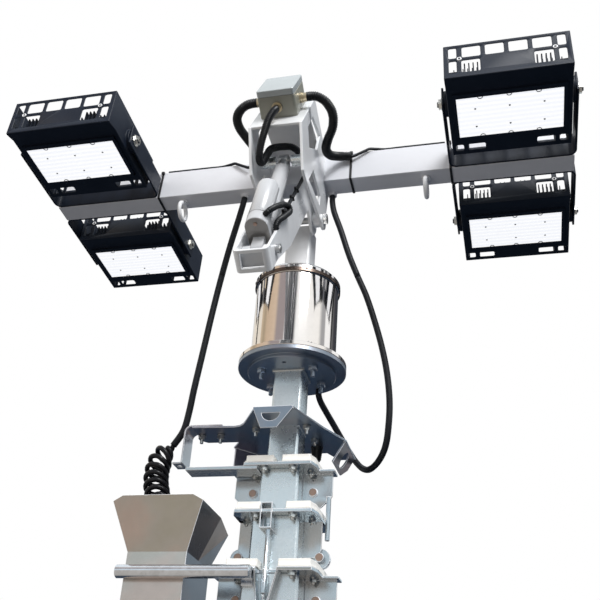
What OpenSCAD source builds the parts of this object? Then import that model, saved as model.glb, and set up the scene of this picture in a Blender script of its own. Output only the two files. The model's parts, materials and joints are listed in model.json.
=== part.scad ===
// Telescopic light mast with a slewing and tilting head that carries four LED floodlights.
// Origin: middle of the underside of the base flange. +Z up, +X along the crossbar, -Y to the front.
// The mast is drawn retracted, with the head tipped forward so that the lamps look down.

/* [Mast] */
// Outer width of the innermost mast tube
top_w = 80; // [70:1:90]
// Added to the width of each tube further out
step_w = 20; // [18:1:26]
// Wall of the mast tubes
tube_t = 4; // [2:0.5:5]
// Length of the outermost tube above its flange
outer_len = 1271; // [1200:1:1500]
// Height that the third section shows above the outer tube
reveal = 141; // [136:1:170]
// Height that the second section shows above the third
reveal_2 = 124; // [120:1:160]
// Height of the slewing flange above the last collar
top_reveal = 293; // [285:1:320]
// Width of the base flange
base_w = 300; // [270:1:340]
// Thickness of the base flange
base_t = 16; // [10:1:24]
// Bolt spacing of the base flange
base_pitch = 240; // [220:1:250]
// Bolt hole of the base flange
base_hole = 18; // [12:1:20]
// How far a section reaches into the one outside it, short of the base
foot_gap = 20; // [10:1:40]

/* [Collars] */
// Reach of a collar past its tube, sideways
collar_x = 47; // [44:1:52]
// Reach of a collar past its tube, front and back
collar_y = 30; // [26:1:36]
// Thickness of a collar plate
collar_t = 8; // [6:1:10]
// Height of the nylon slide pads
pad_h = 20; // [14:1:24]
// Gap between the second section's pads at the front and the back
pad_gap_2 = 22; // [16:1:40]
// The same for the third section
pad_gap_3 = 64; // [58:1:70]
// The same for the outer tube
pad_gap_4 = 50; // [44:1:60]
// Height of the side cheeks that hang from a collar
cheek_h = 88; // [80:1:90]
// Reach of the wide cheeks past their tube
cheek_x = 78; // [72:1:84]
// Reach of the third section's narrow cheeks past their tube
post_x = 46; // [40:1:50]
// Thickness of the cheeks
cheek_t = 6; // [4:1:8]
// Diameter of the rope pulleys
pulley_d = 48; // [40:1:52]
// Diameter of the rope pulley bolts
pulley_bolt_d = 14; // [10:1:16]
// Depth of the guide arm on the second collar
guide_d = 52; // [40:1:56]
// Thickness of the guide arm
guide_t = 8; // [6:1:10]

/* [Pull rope] */
// Sideways place of the rope, left of the middle
rope_x = 9; // [8:0.5:11]
// Distance of the rope in front of the outer tube
rope_y = 12; // [11:0.5:14]
// Diameter of the rope
rope_d = 8; // [6:0.5:9]
// Diameter of its threaded stud
stud_d = 10; // [8:1:12]
// Diameter of the sleeve pressed on it
sleeve_d = 14; // [12:1:15]
// Height of the rope's lug on the base flange
rope_lug_h = 24; // [16:1:30]

/* [Cable bracket] */
// Drop of the bracket plate below the slewing flange
bracket_drop = 168; // [160:1:176]
// Thickness of the folded sheet
sheet_t = 5; // [3:0.5:6]
// Width of the front lip at the top
lip_w = 104; // [90:1:110]
// Height of the front lip
lip_h = 57; // [45:1:70]
// Reach of the hanger arm to the left
arm_reach = 272; // [255:1:280]
// Length of the hanging strap
strap_h = 100; // [80:1:108]
// Outer radius of the strap's bend
strap_r = 20; // [14:1:24]
// Reach of the bracket plate to the right
bracket_x = 143; // [136:1:150]
// Height of the folded side lip
side_lip = 70; // [60:1:80]
// Length of the folded side lip
side_l = 135; // [110:1:140]
// Height of the flap at the plate's rear left
flap_h = 60; // [50:1:70]
// Angle that the side lip is folded in from upright
lip_fold = 30; // [20:1:36]
// Cable hole in the side lip
lip_hole = 46; // [36:1:50]

/* [Rotator] */
// Diameter of the drum
drum_d = 236; // [224:2:250]
// Diameter of the slewing flanges
flange_d = 297; // [285:1:310]
// Height of the drum to the top of its cap
drum_h = 290; // [270:1:300]
// Thickness of each slewing flange
flange_t = 12; // [9:1:14]
// Wall of the drum
drum_t = 6; // [3:1:8]
// Diameter of the disc under the drum
disc_d = 242; // [230:1:250]
// Thickness of that disc
disc_t = 10; // [8:1:12]
// Diameter of the slewing spindle
spindle_d = 60; // [50:1:70]

/* [Tilt linkage] */
// Width of the post
post_w = 75; // [70:1:80]
// Height of the tilt hinge above the slewing flange
hinge_z = 482; // [470:1:500]
// Distance of the tilt hinge in front of the mast axis
hinge_y = 45; // [40:1:50]
// Thickness of the arm plates
arm_t = 8; // [6:1:10]
// Height of the ram's lower pin above the slewing flange
ram_z = 142; // [135:1:150]
// Distance of the ram's lower pin in front of the mast axis
ram_y = 392; // [385:1:400]
// Diameter of the hinge pin
hinge_d = 20; // [16:1:24]
// Diameter of the ram's pins
ram_pin_d = 14; // [12:1:16]

/* [Tilt head] */
// Forward tip of the head as drawn
stow_angle = 86.6; // [80:0.1:90]
// Outer width over the head's side plates
head_w = 153; // [146:1:160]
// Thickness of the head plates
head_t = 8; // [6:1:10]
// Ram pin, behind the hinge, head level
lever_y = 58; // [54:1:62]
// Ram pin, above the hinge, head level
lever_z = 199; // [194:1:204]
// Diameter of the cross tube
cross_d = 32; // [26:1:36]
// Length of the crossbar
bar_len = 1604; // [1500:2:1700]
// Depth of the crossbar, front to back with the head level
bar_d = 104; // [90:1:110]
// Height of the crossbar with the head level
bar_h = 64; // [56:1:72]
// Wall of the crossbar
bar_t = 4; // [3:0.5:6]
// Crossbar's front face behind the hinge
bar_y = 120; // [115:1:126]
// Crossbar's top face above the hinge
bar_z = 36; // [32:1:40]
// Middle radius of a lifting eye
eye_r = 30; // [24:1:34]
// Wire diameter of a lifting eye
eye_wire = 12; // [10:1:14]

/* [Junction box] */
// Width of the box
box_w = 107; // [95:1:115]
// Length of the box up the slope
box_l = 148; // [130:1:155]
// Depth of the box with its lid
box_h = 80; // [70:1:90]
// Thickness of the lid
lid_t = 18; // [12:1:24]
// Diameter of the side glands
gland_d = 30; // [26:1:32]

/* [Lamps] */
// Sideways place of the lamps' middles
lamp_x = 630; // [600:1:640]
// Height of a lamp's pivot above or below the bar
lamp_pivot = 218; // [212:1:230]
// Width of a lamp housing
lamp_w = 324; // [310:1:330]
// Housing above the pivot
lamp_up = 137; // [130:1:145]
// Housing below the pivot
lamp_down = 156; // [148:1:160]
// Depth of the housing behind the pivot
lamp_back = 71; // [60:1:76]
// Front panel in front of the pivot
lamp_front = 45; // [40:1:50]
// Sheet of the housing
lamp_t = 3; // [2:0.5:4]
// Width of the glass
glass_w = 280; // [270:1:286]
// Height of the glass
glass_h = 150; // [140:1:154]
// Middle of the glass below the pivot
glass_drop = 12; // [8:1:16]
// Pitch of the cooling fins
fin_pitch = 12; // [10:1:16]
// Width of the yoke's flat bar
yoke_w = 68; // [60:1:72]
// Thickness of the yoke's flat bar
yoke_t = 6; // [5:1:8]
// Gap between the lamp and the yoke arm
yoke_gap = 10; // [8:1:14]
// Diameter of the pivot bolts
pivot_d = 16; // [12:1:18]

/* [Cable basket] */
// Width of the chute
chute_w = 154; // [140:1:170]
// Depth of the chute
chute_d = 170; // [150:1:190]
// Length of the chute below its hopper
chute_len = 430; // [380:10:520]
// Height of the hopper's rim above the outer tube
hopper_up = 158; // [150:1:170]
// Height of the hopper
hopper_h = 115; // [105:1:125]
// Rise of the hopper's front edge between its corners
crown = 13; // [0:1:16]
// Length of the sloped ends of that edge
crown_run = 26; // [20:1:34]
// Height of the rail's middle below the hopper
rail_drop = 51; // [44:1:56]
// Widening of the hopper on its left and right
hopper_out = 41; // [30:1:50]
// Widening of the hopper at the front
hopper_front = 40; // [30:1:50]
// Widening of the hopper at the back
hopper_back = 90; // [70:1:100]
// Narrowing of the hopper's sides towards the back
hopper_tuck = 29; // [0:1:36]
// Sheet of the basket
basket_t = 3; // [2:0.5:4]
// Diameter of the rail
rail_d = 32; // [26:1:34]

/* [Cords] */
// Diameter of the left drop cable
drop_left_d = 19; // [14:1:22]
// Diameter of the right drop cable
drop_right_d = 18; // [14:1:22]
// Outer diameter of the curly cord
curly_d = 84; // [70:2:96]

/* [Fits] */
// Running gap of pins in their bores, all round
pin_gap = 0.05; // [0.02:0.01:0.1]
// Gap between the slide pads and the tube inside them
slide_gap = 0.4; // [0.3:0.1:1]
// Gap between the slewing faces
slew_gap = 0.3; // [0.2:0.1:0.6]
// Seam between two lengths of one cord
cord_gap = 0.1; // [0.05:0.05:0.3]

/* [Hidden] */
$fn = 64;

// Levels
outer_top = base_t + outer_len;
s3_top = outer_top + reveal;
s2_top = s3_top + reveal_2;
slew_z = s2_top + top_reveal;
w2 = top_w + step_w;
w3 = top_w + 2 * step_w;
w4 = top_w + 3 * step_w;
bracket_z = slew_z - bracket_drop;
drum_top = slew_z + drum_h;

// Tilt linkage
hinge = [0, -hinge_y, slew_z + hinge_z];
ram_base = [0, -ram_y, slew_z + ram_z];
ram_eye = hinge + [
    0,
    lever_y * cos(stow_angle) - lever_z * sin(stow_angle),
    lever_y * sin(stow_angle) + lever_z * cos(stow_angle)
];
ram_len = norm(ram_eye - ram_base);
ram_angle = atan2(ram_eye.y - ram_base.y, ram_eye.z - ram_base.z);
arm_in = post_w / 2;
arm_out = arm_in + arm_t;
head_in = head_w / 2 - head_t;
arm_angle = 33;
arm_run = hinge - ram_base;
arm_u = arm_run.y * sin(arm_angle) + arm_run.z * cos(arm_angle);
arm_v = arm_run.y * cos(arm_angle) - arm_run.z * sin(arm_angle);
ear_r = 42;
lug_r = 32;
ram_r = 22;
motor_r = 29;
motor_off = 44;

// Lamps: upper left, upper right, lower left, lower right
lamp_side = [-1, 1, -1, 1];
lamp_level = [1, 1, -1, -1];
lamp_y = bar_y + yoke_w / 2;
yoke_in = lamp_w / 2 + yoke_gap;

eye_x = [-270, 405];

// Junction box
box_tilt = 27.3;
plate_front = [84, 318];
plate_l = 216;
box_back = 63;

// Basket
chute_x = -202 - chute_w / 2;
chute_y = -100;
hopper_top = outer_top + hopper_up;
hopper_foot = hopper_top - hopper_h;

// Cord routes, as round points; the conduits' and the bar cables' are in the head's own frame
left_route = [
    [-180, -43, 2437], [-183, -44, 2410], [-192, -42, 2360], [-210, -37, 2270], [-228, -32, 2160],
    [-244, -28, 2040], [-258, -24, 1920], [-272, -20, 1800], [-280, -15, 1730], [-290, -12, 1680],
    [-315, -8, 1640]
];
left_split = 4;
right_route = [
    [92, -13, 2435], [93, -14, 2412], [98, -8, 2380], [118, 8, 2320], [142, 24, 2240], [168, 40, 2170],
    [192, 52, 2110], [216, 64, 2030], [236, 76, 1950], [250, 86, 1870], [256, 94, 1790], [252, 104, 1720],
    [241, 124, 1672], [219, 152, 1643], [190, 184, 1632], [164, 214, 1646], [140, 231, 1674],
    [118, 234, 1708], [98, 220, 1742], [80, 190, 1772], [66, 150, 1794], [58, 112, 1808], [56, 93, 1820],
    [56, 93, 1834.8]
];
right_split = 5;
curly_route = [
    [-315, -8, 1640], [-321.25, -7, 1630], [-348, -4, 1598], [-354, 0, 1550], [-342, 2, 1500], [-318, 0, 1440],
    [-292, 2, 1380], [-281, 12, 1320], [-279, 18, 1250], [-279, 19, 1200], [-279, 19, 1100], [-279, 19, 1000],
    [-279, 19, 903.3]
];
conduit_left_route = [
    [-73.8, 220, 283], [-88, 220, 283], [-106, 218, 281], [-127, 208, 273], [-142, 200, 252], [-142, 190, 225],
    [-130, 182, 190], [-116, 178, 150], [-108, 176, 110], [-106, 175, 70], [-106, 175, 36]
];
conduit_right_route = [
    [73.8, 220, 283], [88, 220, 283], [105, 218, 279], [126, 210, 262], [138, 198, 228], [132, 180, 192],
    [114, 162, 165], [102, 156, 135], [104, 166, 98], [118, 184, 70], [136, 194, 56], [160, 196, 50.5]
];
conduit_front_route = [
    [0, 134, 327], [-3, 118, 335], [-14, 88, 336], [-28, 52, 320], [-40, 24, 300], [-48, 4, 276],
    [-48, 10, 252], [-40, 46, 242], [-37, 84, 226], [-28, 110, 206], [-8, 128, 188], [12, 132, 178],
    [30, 120, 168], [46, 102, 160], [57, 98, 158], [68.2, 98, 158]
];
ram_conduit_route = [
    [22.7, -64.2, 60], [28.4, -69.3, 60], [34.5, -71, 67], [39, -67, 80], [42.5, -58, 102], [46, -46, 126],
    [49.5, -32, 150], [53, -17, 168], [56, -6, 173], [57, -2, 163], [56, -7, 146], [54.5, -14, 127],
    [53, -21, 108], [50, -29, 88], [45.5, -32, 73], [42, -28, 63], [41.5, -23.5, 59.6], [41.5, -19, 58.6]
];
arm_cable_route = [
    [41.5, -36.5, 92], [41.5, -36.5, 120], [41.5, -36.5, 190], [41.5, -36.5, 260], [41.5, -36.5, 330],
    [41.5, -36.5, 400], [41.5, -37, 440], [41.5, -36.3, 448.5], [41.5, -31, 455], [41.5, 15, 483.3],
    [41.5, 60, 516], [41.5, 70, 518.6], [41.5, 88, 518.6]
];
bar_cable_route = [
    [160.3, 196, 50.4], [166, 196.5, 49.1], [182, 206, 47], [204, 220, 44], [214, 227, 41.5], [230, 230.5, 35],
    [260, 229.2, 30], [300, 229.2, 30], [360, 229.2, 30], [420, 229.2, 30], [440, 229.2, 30]
];

// ---------- helpers ----------

module rounded(x, y, r) {
    square([x - 2 * r, y], center = true);
    square([x, y - 2 * r], center = true);
    for (sx = [-1, 1], sy = [-1, 1])
        translate([sx * (x / 2 - r), sy * (y / 2 - r)])
            circle(r);
}

module square_tube(w, t, z0, z1) {
    translate([0, 0, z0])
        linear_extrude(z1 - z0)
            difference() {
                rounded(w, w, 8);
                rounded(w - 2 * t, w - 2 * t, 8 - t);
            }
}

module pin_x(d, x0, x1) {
    translate([x0, 0, 0])
        rotate([0, 90, 0])
            cylinder(d = d, h = x1 - x0);
}

module head_space() {
    translate(hinge)
        rotate([stow_angle, 0, 0])
            children();
}

module ram_space() {
    translate(ram_base)
        rotate([-ram_angle, 0, 0])
            children();
}

// Plate in the YZ plane with its inner face at x
module plate_x(x, t) {
    translate([x, 0, 0])
        rotate([90, 0, 90])
            linear_extrude(t)
                children();
}

function unit(v) = v / norm(v);
function tangent(p, i) =
    unit(p[min(i + 1, len(p) - 1)] - p[max(i - 1, 0)]);
function ring(c, t, r, n) =
    let (side = unit(cross(t, abs(t.x) < 0.8 ? [1, 0, 0] : [0, 1, 0])), up = cross(t, side))
    [for (k = [0 : n - 1]) c + r * (cos(360 * k / n) * side + sin(360 * k / n) * up)];

// Seam between two lengths of one cord, along the first one's end
function past(p, i, gap = cord_gap) = gap * tangent(p, i);

// A round cord along points a to b of a route, with end faces square to the whole route
module cord(p, d, n = 8, a = 0, b = -1) {
    last = b < 0 ? len(p) - 1 : b;
    m = last - a + 1;
    rings = [for (i = [a : last]) each ring(p[i], tangent(p, i), d / 2, n)];
    sides = [for (i = [0 : m - 2], k = [0 : n - 1])
        [i * n + k, (i + 1) * n + k, (i + 1) * n + (k + 1) % n, i * n + (k + 1) % n]];
    caps = [[for (k = [0 : n - 1]) k], [for (k = [n - 1 : -1 : 0]) (m - 1) * n + k]];
    polyhedron(rings, concat(sides, caps), convexity = 10);
}

// ---------- mast ----------

module base_flange() {
    color("silver")
        difference() {
            linear_extrude(base_t)
                rounded(base_w, base_w, 14);
            for (sx = [-1, 1], sy = [-1, 1])
                translate([sx * base_pitch / 2, sy * base_pitch / 2, -1])
                    cylinder(d = base_hole, h = base_t + 2);
        }
    // Lug of the pull rope
    color("silver")
        translate([-rope_x - rope_d, -w4 / 2 - rope_y - rope_d, base_t - 1])
            cube([rope_x + rope_d - sheet_t / 2 - 1, 2 * rope_d, rope_lug_h + 1]);
}

module outer_tube() {
    gusset = 60;
    color("silver") {
        square_tube(w4, tube_t, base_t, outer_top);
        for (a = [0 : 90 : 270])
            rotate([0, 0, a])
                plate_x(-sheet_t / 2, sheet_t)
                    polygon([
                        [w4 / 2 - 0.5, base_t],
                        [w4 / 2 + gusset, base_t],
                        [w4 / 2 + gusset, base_t + 12],
                        [w4 / 2 - 0.5, base_t + 2 * gusset]
                    ]);
    }
}

module section_tube(w, z0, z1) {
    color("gainsboro")
        square_tube(w, tube_t, z0, z1);
}

// Outline of a collar on a tube of width w, with its corners cut
module collar_outline(w, inset = 0) {
    x = w / 2 + collar_x - inset;
    y = w / 2 + collar_y - inset;
    cut = [10, 30];
    polygon([
        [-x, -y + cut.y], [-x + cut.x, -y], [x - cut.x, -y], [x, -y + cut.y],
        [x, y - cut.y], [x - cut.x, y], [-x + cut.x, y], [-x, y - cut.y]
    ]);
}

// Flange on top of a tube of width w
module collar(w, z) {
    color("lightsteelblue")
        translate([0, 0, z])
            linear_extrude(collar_t)
                difference() {
                    collar_outline(w);
                    square(w - step_w + 4 * slide_gap, center = true);
                }
}

// Rope pulley on its bolt, behind a cheek
module pulley(x, z) {
    r = pulley_d / 2;
    half = 6;
    color("silver")
        translate([x, cheek_t / 2, z])
            rotate([-90, 0, 0]) {
                translate([0, 0, 2 + half])
                    rotate_extrude()
                        polygon([
                            [0, -half], [r, -half], [r, -half + 1], [r - 5, -1.5], [r - 5, 1.5],
                            [r, half - 1], [r, half], [0, half]
                        ]);
                translate([0, 0, -cheek_t - 7])
                    cylinder(d = pulley_bolt_d, h = cheek_t + 2 * half + 18);
                translate([0, 0, -cheek_t - 7])
                    cylinder(d = pulley_bolt_d + 8, h = 7.5);
            }
}

// Cheeks on both sides of a tube, in its middle plane, with the pulleys that they carry
module cheeks(w, z, reach, pulley_in, pulley_down) {
    x0 = w / 2 + 0.3;
    x1 = w / 2 + reach;
    chamfer = 0.37 * reach;
    for (s = [0, 1])
        mirror([s, 0, 0]) {
            color("lightsteelblue")
                translate([0, cheek_t / 2, z])
                    rotate([90, 0, 0])
                        linear_extrude(cheek_t)
                            polygon([
                                [x0, 0.5], [x1, 0.5], [x1, -cheek_h + chamfer],
                                [x1 - chamfer, -cheek_h], [x0, -cheek_h]
                            ]);
            pulley(w / 2 + pulley_in, z - pulley_down);
        }
}

module pads(w, z, gap) {
    step = 5;
    color("white")
        difference() {
            union() {
                translate([0, 0, z + collar_t])
                    linear_extrude(step)
                        collar_outline(w, 2);
                translate([0, 0, z + collar_t])
                    linear_extrude(pad_h)
                        collar_outline(w, 5);
            }
            translate([0, 0, z]) {
                linear_extrude(collar_t + pad_h + 1)
                    square(w - step_w + 2 * slide_gap, center = true);
                linear_extrude(collar_t + pad_h + 1)
                    square([gap, w + 2 * collar_y + 2], center = true);
            }
        }
}

module collar_2() {
    rod_x = w2 / 2 + cheek_x - 9;
    collar(w2, s2_top);
    cheeks(w2, s2_top, cheek_x, 29, 49);
    color("lightsteelblue") {
        // Ends of the plate over the wide cheeks
        for (s = [0, 1])
            mirror([s, 0, 0])
                translate([w2 / 2 + collar_x - 1, -22, s2_top])
                    cube([cheek_x - collar_x + 8, 44, cheek_t]);
        // Guide arm to the left
        translate([-arm_reach + 28, -w2 / 2 - 26, s2_top - guide_t])
            cube([arm_reach - 28 - w2 / 2 - 3, guide_d, guide_t + 0.5]);
    }
    // Rope terminal under the right cheek
    color("gainsboro")
        translate([rod_x, 0, s2_top - cheek_h - 82])
            cylinder(d = 12, h = 110);
}

module collar_3() {
    box = [30, 30, 64];
    box_x = -30;
    box_top = s3_top + collar_t + 16;
    y0 = -w3 / 2 - 2 - box.y;
    wall = 3;
    rope_at = [-rope_x, -w4 / 2 - rope_y];
    collar(w3, s3_top);
    cheeks(w3, s3_top, post_x, 43, cheek_h);
    // Anchor of the pull rope, open at its front
    color("lightsteelblue")
        difference() {
            translate([box_x, y0, box_top - box.z])
                cube(box);
            translate([box_x + wall, y0 - 1, box_top - box.z + wall])
                cube([box.x - 2 * wall, box.y + 1 - wall, box.z - 2 * wall]);
        }
    // Threaded stud and sleeve of the pull rope
    color("gainsboro")
        translate([rope_at.x, rope_at.y, 0]) {
            translate([0, 0, outer_top])
                cylinder(d = stud_d, h = box_top - box.z + 12 - outer_top);
            translate([0, 0, outer_top - 50])
                cylinder(d = sleeve_d, h = 56);
        }
}

module collar_4() {
    guide = 4;
    guide_h = 72;
    y0 = -w4 / 2 - collar_y;
    notch = [-28, 23];
    throat = [-20, 4];
    difference() {
        union() {
            collar(w4, outer_top);
            color("lightsteelblue")
                for (s = [0, 1])
                    mirror([s, 0, 0])
                        translate([w4 / 2 + collar_x - 1, -22, outer_top])
                            cube([cheek_x - collar_x + 8, 44, cheek_t]);
        }
        // Slot for the pull rope
        translate([notch[0], y0 - 1, outer_top - 1])
            cube([notch[1] - notch[0], collar_y - 2, collar_t + 2]);
    }
    cheeks(w4, outer_top, cheek_x, 29, 49);
    // Sloping guides of the pull rope
    color("lightsteelblue")
        translate([0, -w4 / 2 - 1, 0])
            rotate([90, 0, 0])
                linear_extrude(collar_y - 3) {
                    polygon([
                        [notch[0] - guide, outer_top + 1], [notch[0], outer_top + 1],
                        [throat[0], outer_top - guide_h], [throat[0] - guide, outer_top - guide_h]
                    ]);
                    polygon([
                        [notch[1], outer_top + 1], [notch[1] + guide, outer_top + 1],
                        [throat[1] + guide, outer_top - guide_h], [throat[1], outer_top - guide_h]
                    ]);
                }
}

module pads_2() {
    pads(w2, s2_top, pad_gap_2);
}

module pads_3() {
    pads(w3, s3_top, pad_gap_3);
}

module pads_4() {
    pads(w4, outer_top, pad_gap_4);
}

// Rope from the third section's anchor down to the base flange
module pull_rope() {
    seat = base_t + rope_lug_h + 0.3;
    color("gray")
        translate([-rope_x, -w4 / 2 - rope_y, seat])
            cylinder(d = rope_d, h = outer_top - 50 - seat);
}

// ---------- cable basket ----------

// Columns of the hopper, each from its foot to its rim, drawn in by the sheet and carried on past the rim
module basket_shell(inset, past_rim = 0) {
    x0 = chute_x - chute_w / 2 + inset;
    x1 = chute_x + chute_w / 2 - inset;
    y0 = chute_y + inset;
    y1 = chute_y + chute_d - inset;
    fold = y0 + chute_d / 2;
    crown_y = hopper_front * crown / hopper_h;
    foot = [[x0, y0], [x0 + 20, y0], [x1 - 20, y0], [x1, y0], [x1, fold], [x1, y1], [x0, y1], [x0, fold]];
    rim = [
        [-hopper_out, -hopper_front, hopper_h],
        [-hopper_out + crown_run - 20, -hopper_front - crown_y, hopper_h + crown],
        [hopper_out - crown_run + 20, -hopper_front - crown_y, hopper_h + crown],
        [hopper_out, -hopper_front, hopper_h],
        [hopper_out, 20, hopper_h],
        [hopper_out - hopper_tuck, hopper_back, hopper_h],
        [-hopper_out + hopper_tuck, hopper_back, hopper_h],
        [-hopper_out, 20, hopper_h]
    ];
    n = len(foot);
    stretch = 1 + past_rim / hopper_h;
    low = [for (p = foot) [p.x, p.y, hopper_foot]];
    high = [for (i = [0 : n - 1]) low[i] + stretch * rim[i]];
    middles = [[chute_x, fold, hopper_top + past_rim], [chute_x, fold, hopper_foot]];
    polyhedron(
        concat(low, high, middles),
        [for (i = [0 : n - 1]) let (j = (i + 1) % n)
            each [[i, n + i, n + j], [i, n + j, j], [n + i, 2 * n, n + j], [i, j, 2 * n + 1]]]
    );
    translate([x0, y0, hopper_foot - chute_len + inset])
        cube([x1 - x0, y1 - y0, chute_len - inset + 0.01]);
}

module cable_basket() {
    color("darkgray")
        difference() {
            basket_shell(0);
            basket_shell(basket_t, 2 * crown + 4);
        }
}

module basket_rail() {
    z = hopper_foot - rail_drop;
    y = chute_y - rail_d / 2;
    x0 = chute_x - chute_w / 2 - 12;
    x1 = -w4 / 2 + 36;
    block = 30;
    stay_t = 8;
    chute_right = chute_x + chute_w / 2;
    color("silver") {
        translate([0, y, z])
            pin_x(rail_d, x0, x1);
        // Bracket back to the mast
        translate([-w4 / 2 + 4, -w4 / 2 - 12, z - 24])
            cube([block, 12, block]);
        translate([-w4 / 2 + 8, y, z - 8])
            cube([block - 6, -y - w4 / 2 - 6, 12]);
        // Stays from the chute to the mast
        for (low = [100, chute_len - rail_drop])
            translate([chute_right, chute_y + chute_d / 2 - 20, z - low])
                cube([-w4 / 2 - chute_right, 40, stay_t]);
    }
}

// ---------- top section ----------

module rotator_base() {
    color("slategray")
        translate([0, 0, slew_z])
            difference() {
                rotate_extrude($fn = 96)
                    polygon([
                        [0, -disc_t], [disc_d / 2, -disc_t], [disc_d / 2, 0], [flange_d / 2, 0],
                        [flange_d / 2, flange_t], [spindle_d / 2 + 16, flange_t],
                        [spindle_d / 2, flange_t], [spindle_d / 2, 60], [0, 60]
                    ]);
                translate([0, -disc_d / 2 + 36, -disc_t - 1])
                    cylinder(d = 9, h = disc_t + 1);
            }
    // Studs and nuts under the disc
    color("slategray")
        for (a = [35, 145, 215, 325])
            rotate([0, 0, a])
                translate([disc_d / 2 - 34, 0, slew_z - disc_t]) {
                    translate([0, 0, -12])
                        cylinder(d = 26, h = 12.5, $fn = 6);
                    translate([0, 0, -30])
                        cylinder(d = 12, h = 30);
                }
}

module cable_bracket() {
    lip_y = -150;
    side_y = 80;
    arm_x = -arm_reach + strap_r + 1;
    rear = side_y + side_l;
    flap_l = 84;
    // Foot of the side lip, which is folded in under the plate
    foot = [bracket_x, 0] + side_lip * [-sin(lip_fold), -cos(lip_fold)];
    foot_in = foot + sheet_t * [-cos(lip_fold), sin(lip_fold)];
    root_in = foot_in + (-sheet_t - foot_in.y) / cos(lip_fold) * [sin(lip_fold), cos(lip_fold)];
    color("lightsteelblue") {
        difference() {
            translate([0, 0, bracket_z - sheet_t])
                linear_extrude(sheet_t)
                    polygon([
                        [-lip_w / 2, lip_y], [lip_w / 2, lip_y], [100, -17], [bracket_x, side_y],
                        [bracket_x, rear], [bracket_x - 46, rear], [bracket_x - 70, 160], [-126, 160],
                        [-180, 100], [-153, 60], [arm_x + 10, 58], [arm_x, 48],
                        [arm_x, -50], [-136, -44], [-119, -48], [-106, -60], [-92, -82]
                    ]);
            translate([0, 0, bracket_z - sheet_t - 1])
                linear_extrude(sheet_t + 2)
                    square(top_w, center = true);
        }
        // Front lip with its D slot
        translate([0, lip_y + 1, bracket_z - sheet_t])
            rotate([90, 0, 0])
                linear_extrude(sheet_t + 1)
                    difference() {
                        polygon([
                            [-lip_w / 2, sheet_t], [lip_w / 2, sheet_t], [lip_w / 2, 0],
                            [13, -lip_h + sheet_t], [-29, -lip_h + sheet_t], [-lip_w / 2, 0]
                        ]);
                        intersection() {
                            translate([-5, -10])
                                circle(24);
                            translate([-30, -40])
                                square([52, 27]);
                        }
                    }
        // Side lip with its cable hole and a cut corner at its rear foot
        translate([0, rear, bracket_z])
            rotate([90, 0, 0])
                difference() {
                    linear_extrude(side_l)
                        polygon([
                            [bracket_x - 30, -sheet_t], [bracket_x - 30, 0], [bracket_x, 0], foot,
                            foot_in, root_in
                        ]);
                    translate([bracket_x, 0, side_l / 2])
                        rotate([0, 0, -lip_fold])
                            translate([0, -side_lip / 2 - 2, 0])
                                rotate([0, 90, 0])
                                    cylinder(d = lip_hole, h = 30, center = true);
                    translate([bracket_x, 0, 0])
                        rotate([0, 0, -lip_fold])
                            translate([0, -side_lip, 0])
                                rotate([45, 0, 0])
                                    cube(38, center = true);
                }
        // Flap folded down at the rear left
        translate([-180, 100, bracket_z - flap_h])
            rotate([0, 0, atan2(60, 54)])
                translate([4, -sheet_t, 0])
                    cube([flap_l - 12, sheet_t, flap_h - 1]);
    }
}

module hanger_strap() {
    seat = [104, 60];
    t = sheet_t - 1;
    color("silver")
        translate([-arm_reach, 12, bracket_z]) {
            // Bent sheet, bolted on the arm of the bracket
            rotate([90, 0, 0])
                linear_extrude(seat.y)
                    difference() {
                        union() {
                            translate([0, -strap_h])
                                square([seat.x, strap_h + t - strap_r]);
                            translate([strap_r, -strap_h])
                                square([seat.x - strap_r, strap_h + t]);
                            translate([strap_r, t - strap_r])
                                circle(strap_r);
                        }
                        translate([t, -strap_h - 1])
                            square([seat.x, strap_h + 1 + t - strap_r]);
                        translate([strap_r, -strap_h - 1])
                            square([seat.x, strap_h + 1]);
                        translate([strap_r, t - strap_r])
                            circle(strap_r - t);
                    }
            // Ring plate at the foot of the strap
            difference() {
                translate([-26, -52, -strap_h])
                    cube([27, 44, sheet_t]);
                translate([-12, -30, -strap_h - 1])
                    cylinder(d = 14, h = sheet_t + 2);
            }
        }
}

// ---------- rotator and arm ----------

module rotator_drum() {
    z0 = flange_t + slew_gap;
    r = drum_d / 2;
    bore = spindle_d / 2 + pin_gap;
    color("whitesmoke")
        translate([0, 0, slew_z])
            rotate_extrude($fn = 96)
                polygon([
                    [bore, z0], [flange_d / 2, z0], [flange_d / 2, z0 + flange_t],
                    [r, z0 + flange_t], [r, drum_h - 30], [r + 5, drum_h - 30],
                    [r + 5, drum_h - 12], [r - 6, drum_h], [0, drum_h], [0, drum_h - 10],
                    [r - drum_t, drum_h - 10], [r - drum_t, z0 + flange_t],
                    [bore + 14, z0 + flange_t], [bore + 14, 58], [bore, 58]
                ]);
}

module post() {
    color("white")
        square_tube(post_w, 5, drum_top, slew_z + hinge_z - 12);
}

module arm_side() {
    // Outline in the arm's own plane: across, along
    ear = [arm_v, arm_u];
    polygon([
        [-31, -50], [-31, arm_u - 30], [ear.x - 40, arm_u + 38], [ear.x, arm_u + 38],
        [ear.x + 42, arm_u - 20], [ear.x - 50, arm_u - 48], [55, 150], [29, 0], [29, -50]
    ]);
    translate(ear)
        circle(ear_r);
}

module arm_space() {
    translate(ram_base)
        rotate([-arm_angle, 0, 0])
            children();
}

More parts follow.
